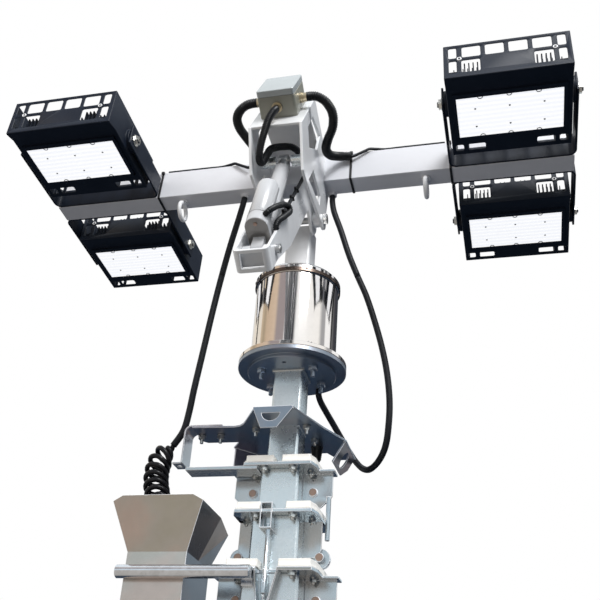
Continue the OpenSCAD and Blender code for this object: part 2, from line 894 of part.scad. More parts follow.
module tilt_arm() {
    nose = 70;
    r = 16;
    color("white")
        difference() {
            union() {
                for (s = [0, 1])
                    mirror([s, 0, 0])
                        arm_space()
                            plate_x(arm_in, arm_t)
                                arm_side();
                // Rounded closed end
                arm_space()
                    translate([0, 29, 0])
                        rotate([90, 0, 0])
                            linear_extrude(60)
                                difference() {
                                    union() {
                                        translate([-arm_out, -nose + r])
                                            square([2 * arm_out, nose - r - 49]);
                                        translate([-arm_out + r, -nose])
                                            square([2 * arm_out - 2 * r, nose - 49]);
                                        for (s = [-1, 1])
                                            translate([s * (arm_out - r), -nose + r])
                                                circle(r);
                                    }
                                    translate([-arm_in, -nose + arm_t + 8])
                                        square([2 * arm_in, nose]);
                                    translate([-arm_in + 8, -nose + arm_t])
                                        square([2 * arm_in - 16, nose]);
                                }
            }
            translate(ram_base)
                pin_x(ram_pin_d, -arm_out - 1, arm_out + 1);
            translate(hinge)
                pin_x(hinge_d, -arm_out - 1, arm_out + 1);
        }
}

module arm_pins() {
    color("gray") {
        translate(hinge) {
            pin_x(hinge_d, -head_w / 2 - 10, head_w / 2 + 10);
            for (s = [-1, 1])
                translate([s > 0 ? head_w / 2 + 0.5 : -head_w / 2 - 10.5, 0, 0])
                    pin_x(30, 0, 10);
        }
        translate(ram_base) {
            pin_x(ram_pin_d, -arm_out - 12, arm_out + 14);
            translate([-arm_out - 8, 0, 0])
                pin_x(24, 0, 8);
            translate([arm_out, 0, 0])
                pin_x(24, 0, 12);
            // Spacers beside the eye
            for (s = [-1, 1])
                translate([s > 0 ? 15.5 : -arm_in, 0, 0])
                    pin_x(26, 0, arm_in - 15.5);
        }
    }
}

// ---------- ram ----------

module ram_body() {
    color("lightgray")
        ram_space()
            difference() {
                union() {
                    // Eye and neck
                    pin_x(34, -15, 15);
                    translate([-15, -17, 0])
                        cube([30, 34, 40]);
                    // Gear housing
                    translate([0, 0, 34])
                        linear_extrude(40) {
                            translate([0, -motor_off / 2])
                                square([2 * 30, motor_off], center = true);
                            circle(30);
                            translate([0, -motor_off])
                                circle(30);
                        }
                    translate([0, 0, 70])
                        cylinder(r = ram_r, h = ram_len - 70 - 46);
                    translate([0, -motor_off - 2, 70])
                        cylinder(r = motor_r, h = 150);
                }
                pin_x(ram_pin_d + 2 * pin_gap, -20, 20);
                translate([0, 0, 90])
                    cylinder(r = 15 + pin_gap, h = ram_len);
            }
}

module ram_rod() {
    color("silver")
        ram_space() {
            translate([0, 0, 95])
                cylinder(r = 15, h = ram_len - 95 - 10);
            translate([0, 0, ram_len])
                difference() {
                    pin_x(36, -13, 13);
                    pin_x(ram_pin_d, -20, 20);
                }
            translate([0, 0, ram_len])
                pin_x(ram_pin_d, -16, 16);
        }
}

// ---------- tilting head ----------

module head_side() {
    difference() {
        union() {
            polygon([
                [-30, 0], [-46, 215], [-40, 258], plate_front, [292, 210],
                [bar_y + bar_d + 8, bar_z + 6], [bar_y + bar_d + 8, bar_z - bar_h - 8],
                [bar_y - 6, bar_z - bar_h - 8], [24, -22]
            ]);
            circle(lug_r);
        }
        // Upper and lower windows
        polygon([[212, 214], [130, 252], [78, 222], [150, 140], [226, 120]]);
        polygon([[50, 160], [-18, 196], [2, 62], [40, 60]]);
    }
}

module head_frame() {
    color("white")
        head_space()
            difference() {
                union() {
                    for (s = [0, 1])
                        mirror([s, 0, 0])
                            plate_x(head_in, head_t)
                                head_side();
                    // Sloping top plate
                    translate([-head_w / 2, plate_front.x, plate_front.y])
                        rotate([-box_tilt, 0, 0])
                            translate([0, 0, -head_t])
                                cube([head_w, plate_l, head_t]);
                    // Inner panel
                    translate([-head_in - 1, 200, bar_z + 10])
                        cube([2 * head_in + 2, 6, 200]);
                    // Hinge bosses
                    for (s = [-1, 1])
                        translate([s > 0 ? arm_out + 0.5 : -head_in - 1, 0, 0])
                            pin_x(46, 0, head_in - arm_out + 0.5);
                }
                pin_x(hinge_d + 2 * pin_gap, -head_w, head_w);
                // Window for the crossbar
                translate([-head_w, bar_y, bar_z - bar_h])
                    cube([2 * head_w, bar_d, bar_h]);
            }
}

module cross_tube() {
    color("lightgray")
        head_space()
            translate([0, lever_y, lever_z])
                for (s = [0, 1])
                    mirror([s, 0, 0])
                        pin_x(cross_d, 22, head_in);
}

module crossbar() {
    color("whitesmoke")
        head_space() {
            translate([-bar_len / 2, bar_y, bar_z - bar_h])
                difference() {
                    cube([bar_len, bar_d, bar_h]);
                    translate([bar_t, bar_t, bar_t])
                        cube([bar_len - 2 * bar_t, bar_d - 2 * bar_t, bar_h - 2 * bar_t]);
                }
            // Glands of the drop cables
            for (p = [[-180, 5], [92, -26]])
                translate([p.x, bar_y - 10, p.y])
                    rotate([-90, 0, 0])
                        cylinder(d = 26, h = 10.5);
        }
}

// Eye bolts on the front face of the crossbar
module lifting_eyes() {
    foot = 5;
    color("white")
        head_space()
            for (x = eye_x)
                translate([x, bar_y, bar_z - bar_h / 2]) {
                    rotate([90, 0, 0]) {
                        cylinder(d = 2.2 * eye_wire, h = foot);
                        cylinder(d = 1.2 * eye_wire, h = foot + eye_wire / 2);
                    }
                    translate([0, -foot - eye_r - eye_wire / 4, 0])
                        rotate([0, 90, 0])
                            rotate_extrude($fn = 48)
                                translate([eye_r, 0])
                                    circle(d = eye_wire, $fn = 24);
                }
}

// ---------- junction box ----------

module box_space() {
    head_space()
        translate([0, plate_front.x, plate_front.y])
            rotate([-box_tilt, 0, 0])
                translate([0, box_back, 0])
                    children();
}

module junction_box() {
    color("tan")
        box_space()
            translate([0, box_l / 2, 0])
                linear_extrude(box_h - lid_t)
                    rounded(box_w, box_l, 8);
}

module box_lid() {
    color("lightblue")
        box_space()
            translate([0, box_l / 2, box_h - lid_t])
                linear_extrude(lid_t)
                    rounded(box_w, box_l, 8);
}

module box_glands() {
    z = (box_h - lid_t) / 2;
    color("goldenrod")
        box_space() {
            for (s = [0, 1])
                mirror([s, 0, 0])
                    translate([box_w / 2, box_l / 2, z]) {
                        pin_x(gland_d, 0, 8);
                        pin_x(gland_d - 4, 8, 20);
                    }
            translate([0, 0, z])
                rotate([90, 0, 0]) {
                    cylinder(d = gland_d, h = 6);
                    cylinder(d = gland_d - 6, h = 12);
                }
        }
}

// ---------- lamps ----------

module lamp_space(i) {
    head_space()
        translate([
            lamp_side[i] * lamp_x,
            lamp_y,
            lamp_level[i] > 0 ? bar_z + lamp_pivot : bar_z - bar_h - lamp_pivot
        ])
            children();
}

// Two rows of windows, as in the top sheet
module vent_windows() {
    back = lamp_back - 12 - 19;
    for (s = [-1, 1]) {
        for (x = [30, 90])
            translate([s * x, back])
                rounded(48, 38, 5);
        translate([s * 138.5, back])
            rounded(21, 38, 5);
        translate([s * 92, back - 54])
            rounded(48, 44, 5);
        translate([s * 138.5, back - 54])
            rounded(20, 44, 5);
    }
}

module housing(i) {
    lip = lamp_front + 9;
    foot = lamp_level[i];
    color("black")
        lamp_space(i)
            difference() {
                union() {
                    // Folded sheet: top, front panel and underside
                    difference() {
                        plate_x(-lamp_w / 2, lamp_w)
                            polygon([
                                [lamp_back, lamp_up], [-lip, lamp_up], [-lip, lamp_up - 8],
                                [-lamp_front, lamp_up - 40], [-lamp_front, -lamp_down], [lamp_back, -lamp_down],
                                [lamp_back, -lamp_down + lamp_t], [-lamp_front + lamp_t, -lamp_down + lamp_t],
                                [-lamp_front + lamp_t, lamp_up - 40], [-lip + lamp_t, lamp_up - 8],
                                [-lip + lamp_t, lamp_up - lamp_t], [lamp_back, lamp_up - lamp_t]
                            ]);
                        translate([0, 0, lamp_up - lamp_t - 1])
                            linear_extrude(lamp_t + 2)
                                vent_windows();
                        translate([0, 0, -lamp_down - 1])
                            linear_extrude(lamp_t + 2)
                                vent_windows();
                        // Opening behind the glass
                        translate([-glass_w / 2 - 4, -lamp_front - 1, -glass_drop - glass_h / 2 - 4])
                            cube([glass_w + 8, lamp_t + 2, glass_h + 8]);
                        // Slots in the lower band
                        for (s = [-1, 1]) {
                            translate([s * 94, -lamp_front - 1, -130])
                                rotate([-90, 0, 0])
                                    linear_extrude(lamp_t + 2)
                                        rounded(48, 22, 5);
                            translate([s * 141, -lamp_front - 1, -130])
                                rotate([-90, 0, 0])
                                    linear_extrude(lamp_t + 2)
                                        rounded(22, 22, 5);
                        }
                    }
                    // Side plates
                    for (s = [-1, 1])
                        plate_x(s > 0 ? lamp_w / 2 - lamp_t : -lamp_w / 2, lamp_t)
                            polygon([
                                [lamp_back, lamp_up], [-lip, lamp_up], [-lip, lamp_up - 8],
                                [-lamp_front, lamp_up - 40], [-lamp_front, -lamp_down], [lamp_back, -lamp_down]
                            ]);
                    // Pivot discs and pins
                    for (s = [0, 1])
                        mirror([s, 0, 0]) {
                            pin_x(70, lamp_w / 2 - 0.5, yoke_in - 0.5);
                            pin_x(pivot_d, lamp_w / 2, yoke_in + yoke_t + 14);
                            translate([yoke_in + yoke_t + 0.5, 0, 0])
                                pin_x(26, 0, 9);
                        }
                }
            }
}

module heat_sink(i) {
    x0 = -glass_w / 2;
    y0 = -lamp_front + lamp_t;
    z0 = -glass_drop - glass_h / 2 - 14;
    h = glass_h + 28;
    count = floor(glass_w / fin_pitch);
    color("dimgray")
        lamp_space(i) {
            translate([-lamp_w / 2 + lamp_t, y0 + 2, z0])
                cube([lamp_w - 2 * lamp_t, 12, h]);
            for (k = [0 : count])
                translate([(k - count / 2) * fin_pitch - 1.25, y0 + 13, z0])
                    cube([2.5, 52, h + 18]);
        }
}

module lens(i) {
    h = glass_h;
    color("white")
        lamp_space(i) {
            translate([-glass_w / 2, -lamp_front - 4, -glass_drop - h / 2])
                cube([glass_w, lamp_t + 6, h]);
        }
}

module yoke(i) {
    up = lamp_level[i];
    base = lamp_pivot - yoke_t;
    r = 22;
    color("black")
        lamp_space(i)
            mirror([0, 0, up > 0 ? 0 : 1])
                difference() {
                    translate([0, yoke_w / 2, 0])
                        rotate([90, 0, 0])
                            linear_extrude(yoke_w)
                                difference() {
                                    union() {
                                        translate([-yoke_in - yoke_t, -lamp_pivot + r])
                                            square([2 * (yoke_in + yoke_t), lamp_pivot - r + 30]);
                                        translate([-yoke_in - yoke_t + r, -lamp_pivot])
                                            square([2 * (yoke_in + yoke_t - r), r + 1]);
                                        for (s = [-1, 1])
                                            translate([s * (yoke_in + yoke_t - r), -lamp_pivot + r])
                                                circle(r);
                                    }
                                    translate([-yoke_in, -base + r - yoke_t])
                                        square([2 * yoke_in, lamp_pivot + 60]);
                                    translate([-yoke_in + r - yoke_t, -base])
                                        square([2 * (yoke_in - r + yoke_t), r]);
                                    for (s = [-1, 1])
                                        translate([s * (yoke_in + yoke_t - r), -lamp_pivot + r])
                                            circle(r - yoke_t);
                                }
                    pin_x(pivot_d + 2 * pin_gap, -yoke_in - 20, yoke_in + 20);
                }
}

// ---------- cords ----------

module curly_cord() {
    color("black")
        translate(past(curly_route, 0, 2 * cord_gap))
            cord(curly_route, curly_d, 12);
}

module drop_cable_left_upper() {
    color("black")
        cord(left_route, drop_left_d, 8, 0, left_split);
}

module drop_cable_left_lower() {
    color("black")
        translate(past(left_route, left_split))
            cord(left_route, drop_left_d, 8, left_split);
}

module drop_cable_right_upper() {
    color("black")
        cord(right_route, drop_right_d, 8, 0, right_split);
}

module drop_cable_right_lower() {
    color("black")
        translate(past(right_route, right_split))
            cord(right_route, drop_right_d, 8, right_split);
}

module conduit_left() {
    color("black")
        head_space()
            cord(conduit_left_route, 28, 10);
}

module conduit_right() {
    color("black")
        head_space()
            cord(conduit_right_route, 28, 10);
}

module conduit_front() {
    color("black")
        head_space()
            cord(conduit_front_route, 22, 10);
}

module ram_conduit() {
    color("black")
        ram_space()
            cord(ram_conduit_route, 16);
}

// Ram lead tied along the edge of the arm
module arm_cable() {
    color("black")
        arm_space()
            cord(arm_cable_route, 10);
}

// Power leads tied along the rear edge of the crossbar
module bar_cables() {
    color("black")
        head_space()
            for (s = [0, 1])
                mirror([s, 0, 0])
                    cord(bar_cable_route, 9);
}

base_flange();
outer_tube();
collar_4();
pads_4();
cable_basket();
basket_rail();
section_tube(w3, base_t + foot_gap, s3_top);  // tube_3
collar_3();
pads_3();
pull_rope();
section_tube(w2, base_t + 2 * foot_gap, s2_top);  // tube_2
collar_2();
pads_2();
section_tube(top_w, base_t + 3 * foot_gap, slew_z - disc_t);  // top_tube
rotator_base();
cable_bracket();
hanger_strap();
curly_cord();
drop_cable_left_lower();
drop_cable_right_lower();
rotator_drum();
post();
tilt_arm();
arm_pins();
drop_cable_left_upper();
drop_cable_right_upper();
arm_cable();
ram_body();
ram_conduit();
ram_rod();
head_frame();
cross_tube();
crossbar();
lifting_eyes();
junction_box();
box_lid();
box_glands();
conduit_left();
conduit_right();
conduit_front();
bar_cables();
yoke(0);  // yoke_1
yoke(1);  // yoke_2
yoke(2);  // yoke_3
yoke(3);  // yoke_4
housing(0);  // housing_1
housing(1);  // housing_2
housing(2);  // housing_3
housing(3);  // housing_4
heat_sink(0);  // heat_sink_1
heat_sink(1);  // heat_sink_2
heat_sink(2);  // heat_sink_3
heat_sink(3);  // heat_sink_4
lens(0);  // lens_1
lens(1);  // lens_2
lens(2);  // lens_3
lens(3);  // lens_4
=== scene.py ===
# %% [markdown]
# # Dressing a telescopic light mast
#
# The real thing is a square-tube mast that cranks up in four stages. On top sits a slewing
# rotator, and on that a head that tips over: a long crossbar with four LED floodlights.
# The exact solids come from the CAD part. This script gives them their finishes and adds
# what a CAD model leaves out: bolts, cable ties, coils, corrugated hose, lamp trims.

# %% Load the frame
import json
import math

import bmesh
import bpy
from mathutils import Matrix, Vector, geometry

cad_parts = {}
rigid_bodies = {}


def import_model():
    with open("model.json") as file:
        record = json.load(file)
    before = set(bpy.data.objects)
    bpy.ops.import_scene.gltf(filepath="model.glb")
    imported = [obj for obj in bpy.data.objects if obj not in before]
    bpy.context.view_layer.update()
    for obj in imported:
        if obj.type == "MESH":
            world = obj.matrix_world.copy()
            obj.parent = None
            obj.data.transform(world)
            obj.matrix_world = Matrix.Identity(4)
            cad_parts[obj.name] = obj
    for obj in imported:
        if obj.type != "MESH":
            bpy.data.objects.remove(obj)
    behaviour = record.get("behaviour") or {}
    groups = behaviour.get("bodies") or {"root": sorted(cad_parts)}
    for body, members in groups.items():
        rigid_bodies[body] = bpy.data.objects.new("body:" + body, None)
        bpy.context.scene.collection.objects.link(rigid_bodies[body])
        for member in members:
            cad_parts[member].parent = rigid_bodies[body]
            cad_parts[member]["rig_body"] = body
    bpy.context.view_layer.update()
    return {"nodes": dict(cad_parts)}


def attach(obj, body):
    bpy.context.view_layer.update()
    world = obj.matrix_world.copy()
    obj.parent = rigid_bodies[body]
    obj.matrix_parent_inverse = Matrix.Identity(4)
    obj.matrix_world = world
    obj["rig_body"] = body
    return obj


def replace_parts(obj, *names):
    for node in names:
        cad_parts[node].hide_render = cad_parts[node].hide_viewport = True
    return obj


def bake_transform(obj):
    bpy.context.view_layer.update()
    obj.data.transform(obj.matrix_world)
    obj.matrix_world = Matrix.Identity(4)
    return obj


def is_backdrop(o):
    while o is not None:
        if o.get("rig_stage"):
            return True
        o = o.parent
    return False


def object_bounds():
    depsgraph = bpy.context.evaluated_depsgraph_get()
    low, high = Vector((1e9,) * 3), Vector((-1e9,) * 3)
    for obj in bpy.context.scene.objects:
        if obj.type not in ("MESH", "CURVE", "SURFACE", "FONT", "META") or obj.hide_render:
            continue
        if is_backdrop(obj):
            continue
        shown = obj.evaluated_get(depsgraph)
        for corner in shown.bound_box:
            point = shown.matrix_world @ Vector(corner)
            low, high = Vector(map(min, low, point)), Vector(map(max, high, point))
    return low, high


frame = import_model()
nodes = frame["nodes"]

# %% [markdown]
# ## The camera
#
# The mast is seen from below and a little from the right, with a slightly long lens. A camera is
# turned by three rotations: yaw about the vertical, pitch about its own side axis, and roll
# about its view. Written as a product of three matrices, each stays readable.

# %% Camera
def turn(degrees, axis):
    return Matrix.Rotation(math.radians(degrees), 4, axis)


CAMERA_PLACE = (0.5778, -2.0816, 0.7811)
YAW, PITCH, ROLL = 15.3, 31.03, 3.97
camera_data = bpy.data.cameras.new("mast_camera")
camera_data.lens = 52.43
camera_data.sensor_width = 36
camera_data.clip_end = 200
camera = bpy.data.objects.new("mast_camera", camera_data)
bpy.context.scene.collection.objects.link(camera)
camera.matrix_world = (
    Matrix.Translation(CAMERA_PLACE) @ turn(YAW, "Z") @ turn(90 + PITCH, "X") @ turn(ROLL, "Z")
)
bpy.context.scene.camera = camera

# %% [markdown]
# ## Places that many pieces share
#
# The head was modelled upright and then tipped over about its hinge. Three matrices bring
# small parts from the head's own frame, or from the arm's or the ram's, into the mast's frame.

# %% Frames of the moving parts
SLEW = 1.845
TIP, ARM_LEAN, RAM_LEAN = 86.6, -33, -20.33
HINGE = Vector((0, -0.045, SLEW + 0.482))
RAM_FOOT = Vector((0, -0.392, SLEW + 0.142))
head = Matrix.Translation(HINGE) @ turn(TIP, "X")
arm = Matrix.Translation(RAM_FOOT) @ turn(ARM_LEAN, "X")
ram = Matrix.Translation(RAM_FOOT) @ turn(RAM_LEAN, "X")


def at(place, x, y, z):
    """A frame moved along its own axes."""
    return place @ Matrix.Translation((x, y, z))


LAMP_X, LAMP_Y, BACK_ROW, FRONT_ROW = 0.630, 0.154, 0.254, -0.246
LAMPS = {
    "1": (-LAMP_X, LAMP_Y, BACK_ROW), "2": (LAMP_X, LAMP_Y, BACK_ROW),
    "3": (-LAMP_X, LAMP_Y, FRONT_ROW), "4": (LAMP_X, LAMP_Y, FRONT_ROW),
}

# %% [markdown]
# ## Shader maths as Python
#
# A procedural material is a sum of small patterns. Wrapping a socket in a class that knows
# plus, minus, times and divide lets the sums be written as sums. Each step adds a Math node.

# %% Socket wrapper and material maker
class Wire:
    """One socket of a material, which takes part in Python expressions."""

    def __init__(self, paint, socket):
        self.paint, self.socket = paint, socket

    def apply(self, operation, other):
        return self.paint.node("ShaderNodeMath", {"operation": operation}, {0: self, 1: other})

    def __add__(self, other):
        return self.apply("ADD", other)

    __radd__ = __add__

    def __sub__(self, other):
        return self.apply("SUBTRACT", other)

    def __mul__(self, other):
        return self.apply("MULTIPLY", other)

    def __truediv__(self, other):
        return self.apply("DIVIDE", other)

    def clamp(self):
        return self.paint.node("ShaderNodeClamp", {}, {0: self})


class Paint:
    """A material under construction."""

    def __init__(self, name):
        self.material = bpy.data.materials.new(name)
        self.material.use_nodes = True
        self.tree = self.material.node_tree
        self.tree.nodes.clear()
        self.shader = self.tree.nodes.new("ShaderNodeBsdfPrincipled")
        output = self.tree.nodes.new("ShaderNodeOutputMaterial")
        self.tree.links.new(self.shader.outputs[0], output.inputs["Surface"])
        self.place = self.node("ShaderNodeTexCoord", {}, {}, "Object")

    def node(self, kind, settings, sockets, out=0):
        n = self.tree.nodes.new(kind)
        for key, value in settings.items():
            if key == "stops":
                ramp = n.color_ramp
                while len(ramp.elements) < len(value):
                    ramp.elements.new(0.5)
                for element, (position, colour) in zip(ramp.elements, value):
                    element.position, element.color = position, (*colour, 1)
            else:
                setattr(n, key, value)
        for key, value in sockets.items():
            self.plug(n.inputs[key], value)
        return Wire(self, n.outputs[out])

    def plug(self, socket, value):
        if isinstance(value, Wire):
            self.tree.links.new(value.socket, socket)
        elif isinstance(value, tuple) and len(value) == 3 and socket.type == "RGBA":
            socket.default_value = (*value, 1)
        else:
            socket.default_value = value

    def set(self, **sockets):
        for key, value in sockets.items():
            self.plug(self.shader.inputs[key.replace("_", " ")], value)

    def noise(self, scale, detail, rough=0.5, vector=None):
        return self.node("ShaderNodeTexNoise", {}, {
            "Vector": vector or self.place, "Scale": scale, "Detail": detail, "Roughness": rough})

    def cells(self, scale):
        return self.node("ShaderNodeTexVoronoi", {}, {
            "Vector": self.place, "Scale": scale}, "Color")

    def stretch(self, x, y, z):
        return self.node("ShaderNodeMapping", {}, {"Vector": self.place, "Scale": (x, y, z)})

    def ramp(self, factor, stops):
        return self.node("ShaderNodeValToRGB", {"stops": stops}, {0: factor})

    def mix(self, factor, a, b):
        return self.node("ShaderNodeMix", {"data_type": "RGBA"}, {0: factor, 6: a, 7: b}, 2)

    def bump(self, height, distance, strength):
        normal = self.node("ShaderNodeBump", {}, {
            "Height": height, "Distance": distance, "Strength": strength})
        self.plug(self.shader.inputs["Normal"], normal)
        return self


def darker(colour, share):
    return tuple(c * share for c in colour)


# %% [markdown]
# ## Galvanised steel
#
# Hot-dip zinc freezes in crystals, the spangle. Seen close it is a mosaic of flat patches,
# each a slightly different grey. A Voronoi pattern with one grey per cell gives that, and a
# broad noise adds the cloudy stains of weather.

# %% Galvanised steel, bright and dull
def galvanised(name, light, dark, spangle, metallic, rough):
    p = Paint(name)
    cell = p.node("ShaderNodeSeparateColor", {}, {0: p.cells(spangle)})
    cloud = p.noise(9, 5, 0.6)
    streak = p.noise(14, 4, 0.6, p.stretch(6, 6, 0.35))
    tone = (cell * 0.38 + cloud * 0.42 + streak * 0.3).clamp()
    p.set(Base_Color=p.ramp(tone, [(0.25, dark), (0.75, light)]), Metallic=metallic,
          Roughness=(rough + (cloud - 0.5) * 0.3 + cell * 0.06).clamp())
    return p.bump(cell * 0.6 + p.noise(120, 3) * 0.4, 0.0003, 0.12).material


mast_zinc = galvanised("mast_zinc", (0.76, 0.80, 0.82), (0.68, 0.72, 0.74), 150, 0.92, 0.27)
tube_zinc = galvanised("tube_zinc", (0.82, 0.87, 0.89), (0.74, 0.79, 0.81), 190, 0.92, 0.25)
rail_zinc = galvanised("rail_zinc", (0.84, 0.87, 0.92), (0.70, 0.72, 0.75), 90, 0.95, 0.16)

# %% [markdown]
# ## Blue passivated zinc
#
# Collars, bracket, strap and the rotator's disc are electroplated: a thin film that shimmers
# blue, with straw and violet where it is thicker. Two slow noises choose between those tints.

# %% Blue zinc
def blue_zinc(name, base, tint, rough=0.24):
    p = Paint(name)
    film = p.noise(7, 4, 0.55)
    drift = p.noise(19, 3, 0.5)
    colour = p.ramp(film, [(0.3, tint[0]), (0.5, base), (0.66, tint[1])])
    colour = p.mix((drift * 0.5).clamp(), colour, tint[2])
    p.set(Base_Color=colour, Metallic=0.9, Roughness=(rough + drift * 0.16).clamp())
    return p.bump(p.noise(600, 2), 0.0002, 0.35).material


plated = blue_zinc("blue_zinc", (0.30, 0.36, 0.45), (
    (0.22, 0.33, 0.47), (0.36, 0.33, 0.42), (0.42, 0.42, 0.40)))
collar_zinc = blue_zinc("collar_zinc", (0.56, 0.62, 0.67), (
    (0.46, 0.55, 0.64), (0.62, 0.60, 0.60), (0.64, 0.65, 0.62)), 0.14)
strap_zinc = blue_zinc("strap_zinc", (0.55, 0.56, 0.60), (
    (0.52, 0.55, 0.66), (0.64, 0.56, 0.62), (0.64, 0.63, 0.56)))

# %% [markdown]
# ## Satin sheet
#
# The basket is folded from smooth sheet with a rolled, satin face. It has no crystals, only
# slow clouds of olive and rose, and very fine lines along the rolling direction. Its
# right-hand faces get a second, much darker version: a painted reflection of something dark
# that the satin mirrors on that side.

# %% Satin sheet
def satin(name, base, olive, rose):
    p = Paint(name)
    cloud = p.noise(5, 4, 0.5)
    stain = p.noise(16, 5, 0.6)
    colour = p.ramp(cloud, [(0.34, olive), (0.5, base), (0.62, rose)])
    colour = p.mix((stain * 0.9 - 0.28).clamp(), colour, darker(base, 0.72))
    lines = p.noise(160, 2, 0.5, p.stretch(0.5, 0.5, 9))
    p.set(Base_Color=colour, Metallic=0.95, Roughness=(0.18 + stain * 0.14).clamp())
    return p.bump(lines, 0.0002, 0.25).material


basket_zinc = satin("basket_satin", (0.60, 0.57, 0.52), (0.55, 0.53, 0.44), (0.68, 0.56, 0.50))
# painted reflection: a dark copy of the satin for the faces that turn to the right
painted_dark_reflection = satin("basket_painted_reflection", (0.10, 0.12, 0.15), (0.07, 0.09, 0.11), (0.13, 0.13, 0.15))

# %% [markdown]
# ## Paints and plastics
#
# The post, arm and head are white gloss paint with a faint orange peel. The lamps are black
# powder coat, which has a fine tight grain. Pads are white nylon, and a nylon-like finish also
# serves for the painted highlight on bevelled plate edges, for lifting rings and ties.

# %% Paints, powder coat, nylon
def gloss_paint(name, colour, shade, rough=0.22, peel=240):
    p = Paint(name)
    dirt = p.noise(6, 6, 0.65)
    p.set(Base_Color=p.mix((dirt * 1.6 - 0.75).clamp(), colour, shade), Metallic=0.0,
          Roughness=(rough + dirt * 0.14).clamp(), Coat_Weight=0.35, Coat_Roughness=0.12)
    return p.bump(p.noise(peel, 2), 0.0004, 0.15).material


def powder_coat(name, colour, rough):
    p = Paint(name)
    grain = p.noise(900, 2)
    wear = p.noise(12, 5, 0.6)
    dusty = tuple(c * 1.9 + 0.004 for c in colour)
    p.set(Base_Color=p.mix((wear * 0.8 - 0.2).clamp(), colour, dusty), Metallic=0.0,
          Roughness=(rough + wear * 0.15).clamp(), Specular_IOR_Level=0.22)
    return p.bump(grain, 0.0003, 0.35).material


def nylon(name, colour, shade):
    p = Paint(name)
    grime = p.noise(22, 6, 0.7)
    p.set(Base_Color=p.mix((grime * 1.7 - 0.8).clamp(), colour, shade),
          Roughness=(0.42 + grime * 0.2).clamp())
    return p.bump(p.noise(300, 3), 0.0004, 0.2).material


white_paint = gloss_paint("white_paint", (0.80, 0.81, 0.83), (0.62, 0.63, 0.64))
bar_paint = gloss_paint("bar_paint", (0.66, 0.67, 0.71), (0.54, 0.55, 0.58), 0.3)
grey_paint = gloss_paint("ram_grey", (0.50, 0.51, 0.53), (0.34, 0.35, 0.36), 0.3)
black_coat = powder_coat("black_powder_coat", (0.006, 0.010, 0.020), 0.40)
fin_black = powder_coat("fin_black", (0.006, 0.009, 0.017), 0.5)
pad_white = nylon("pad_nylon", (0.93, 0.91, 0.87), (0.74, 0.70, 0.64))
box_grey = gloss_paint("box_grey", (0.21, 0.21, 0.175), (0.15, 0.15, 0.125), 0.4, 500)
lid_grey = gloss_paint("lid_grey", (0.34, 0.37, 0.38), (0.26, 0.28, 0.28), 0.22, 500)
cap_grey = gloss_paint("cap_grey", (0.30, 0.29, 0.28), (0.22, 0.21, 0.20), 0.35, 500)
tie_black = nylon("tie_black", (0.012, 0.012, 0.014), (0.03, 0.03, 0.034))

# %% [markdown]
# ## Bright metal, brass and rubber
#
# Bolts are bright zinc, glands are brass, and the drum is polished. Cable jackets and hoses
# are black rubber: dark, with a soft broad shine.

# %% Bright metal, brass, rubber
def bright(name, colour, rough=0.22, smeared=0.6):
    p = Paint(name)
    smear = p.noise(70, 4, 0.6)
    p.set(Base_Color=p.mix((smear - 0.1).clamp(), colour, darker(colour, smeared)),
          Metallic=1.0, Roughness=(rough + smear * rough * 0.7).clamp())
    return p.bump(p.noise(260, 2), 0.0002, min(0.2, rough)).material


def rubber(name, colour, rough=0.42):
    p = Paint(name)
    bloom = p.noise(30, 5, 0.6)
    bloomed = tuple(c * 2.2 + 0.006 for c in colour)
    p.set(Base_Color=p.mix((bloom * 0.7 - 0.15).clamp(), colour, bloomed),
          Roughness=(rough + bloom * 0.16).clamp(), Specular_IOR_Level=0.3,
          Coat_Weight=0.05, Coat_Roughness=0.3)
    return p.bump(p.noise(700, 2), 0.0003, 0.25).material


stainless = bright("polished_stainless", (0.92, 0.90, 0.88), 0.05, 0.9)
# painted highlight: a pale, matt finish for the bevel strips, brighter than the metal beside them
painted_edge_highlight = nylon("painted_edge_highlight", (0.90, 0.91, 0.94), (0.74, 0.75, 0.78))
ring_white = nylon("ring_white", (0.82, 0.83, 0.85), (0.64, 0.64, 0.66))
skirt_painted_reflection = bright("skirt_painted_reflection", (0.17, 0.13, 0.11), 0.20, 0.8)
flange_painted_reflection = bright("flange_painted_reflection", (0.34, 0.28, 0.25), 0.34, 0.9)
nut_olive = bright("nut_olive", (0.92, 0.91, 0.86), 0.26, 0.7)
bolt_steel = bright("bolt_steel", (0.72, 0.72, 0.70))
dark_bolt = bright("dark_bolt", (0.16, 0.15, 0.15), 0.35)
pin_steel = bright("pin_steel", (0.62, 0.63, 0.64), 0.3)
copper_brown = bright("copper_brown", (0.52, 0.36, 0.29), 0.3)
gland_brass = bright("gland_brass", (0.72, 0.62, 0.44), 0.25)
cable_black = rubber("cable_black", (0.004, 0.005, 0.008))
hose_black = rubber("hose_black", (0.004, 0.005, 0.007), 0.33)
coil_black = rubber("coil_black", (0.004, 0.004, 0.006), 0.22)
dot_grey = nylon("dot_grey", (0.34, 0.34, 0.37), (0.24, 0.24, 0.26))

# %% [markdown]
# ## The lamp glass
#
# Behind a clear sheet lie rows of moulded lenses over the LEDs. In daylight they read as a
# white panel with fine level lines. The glass also glows faintly in the same rows: painted
# light that keeps the panel bright white. The pattern follows the panel's own height, so the
# coordinates are first turned back to the lamp's frame by a Mapping node.

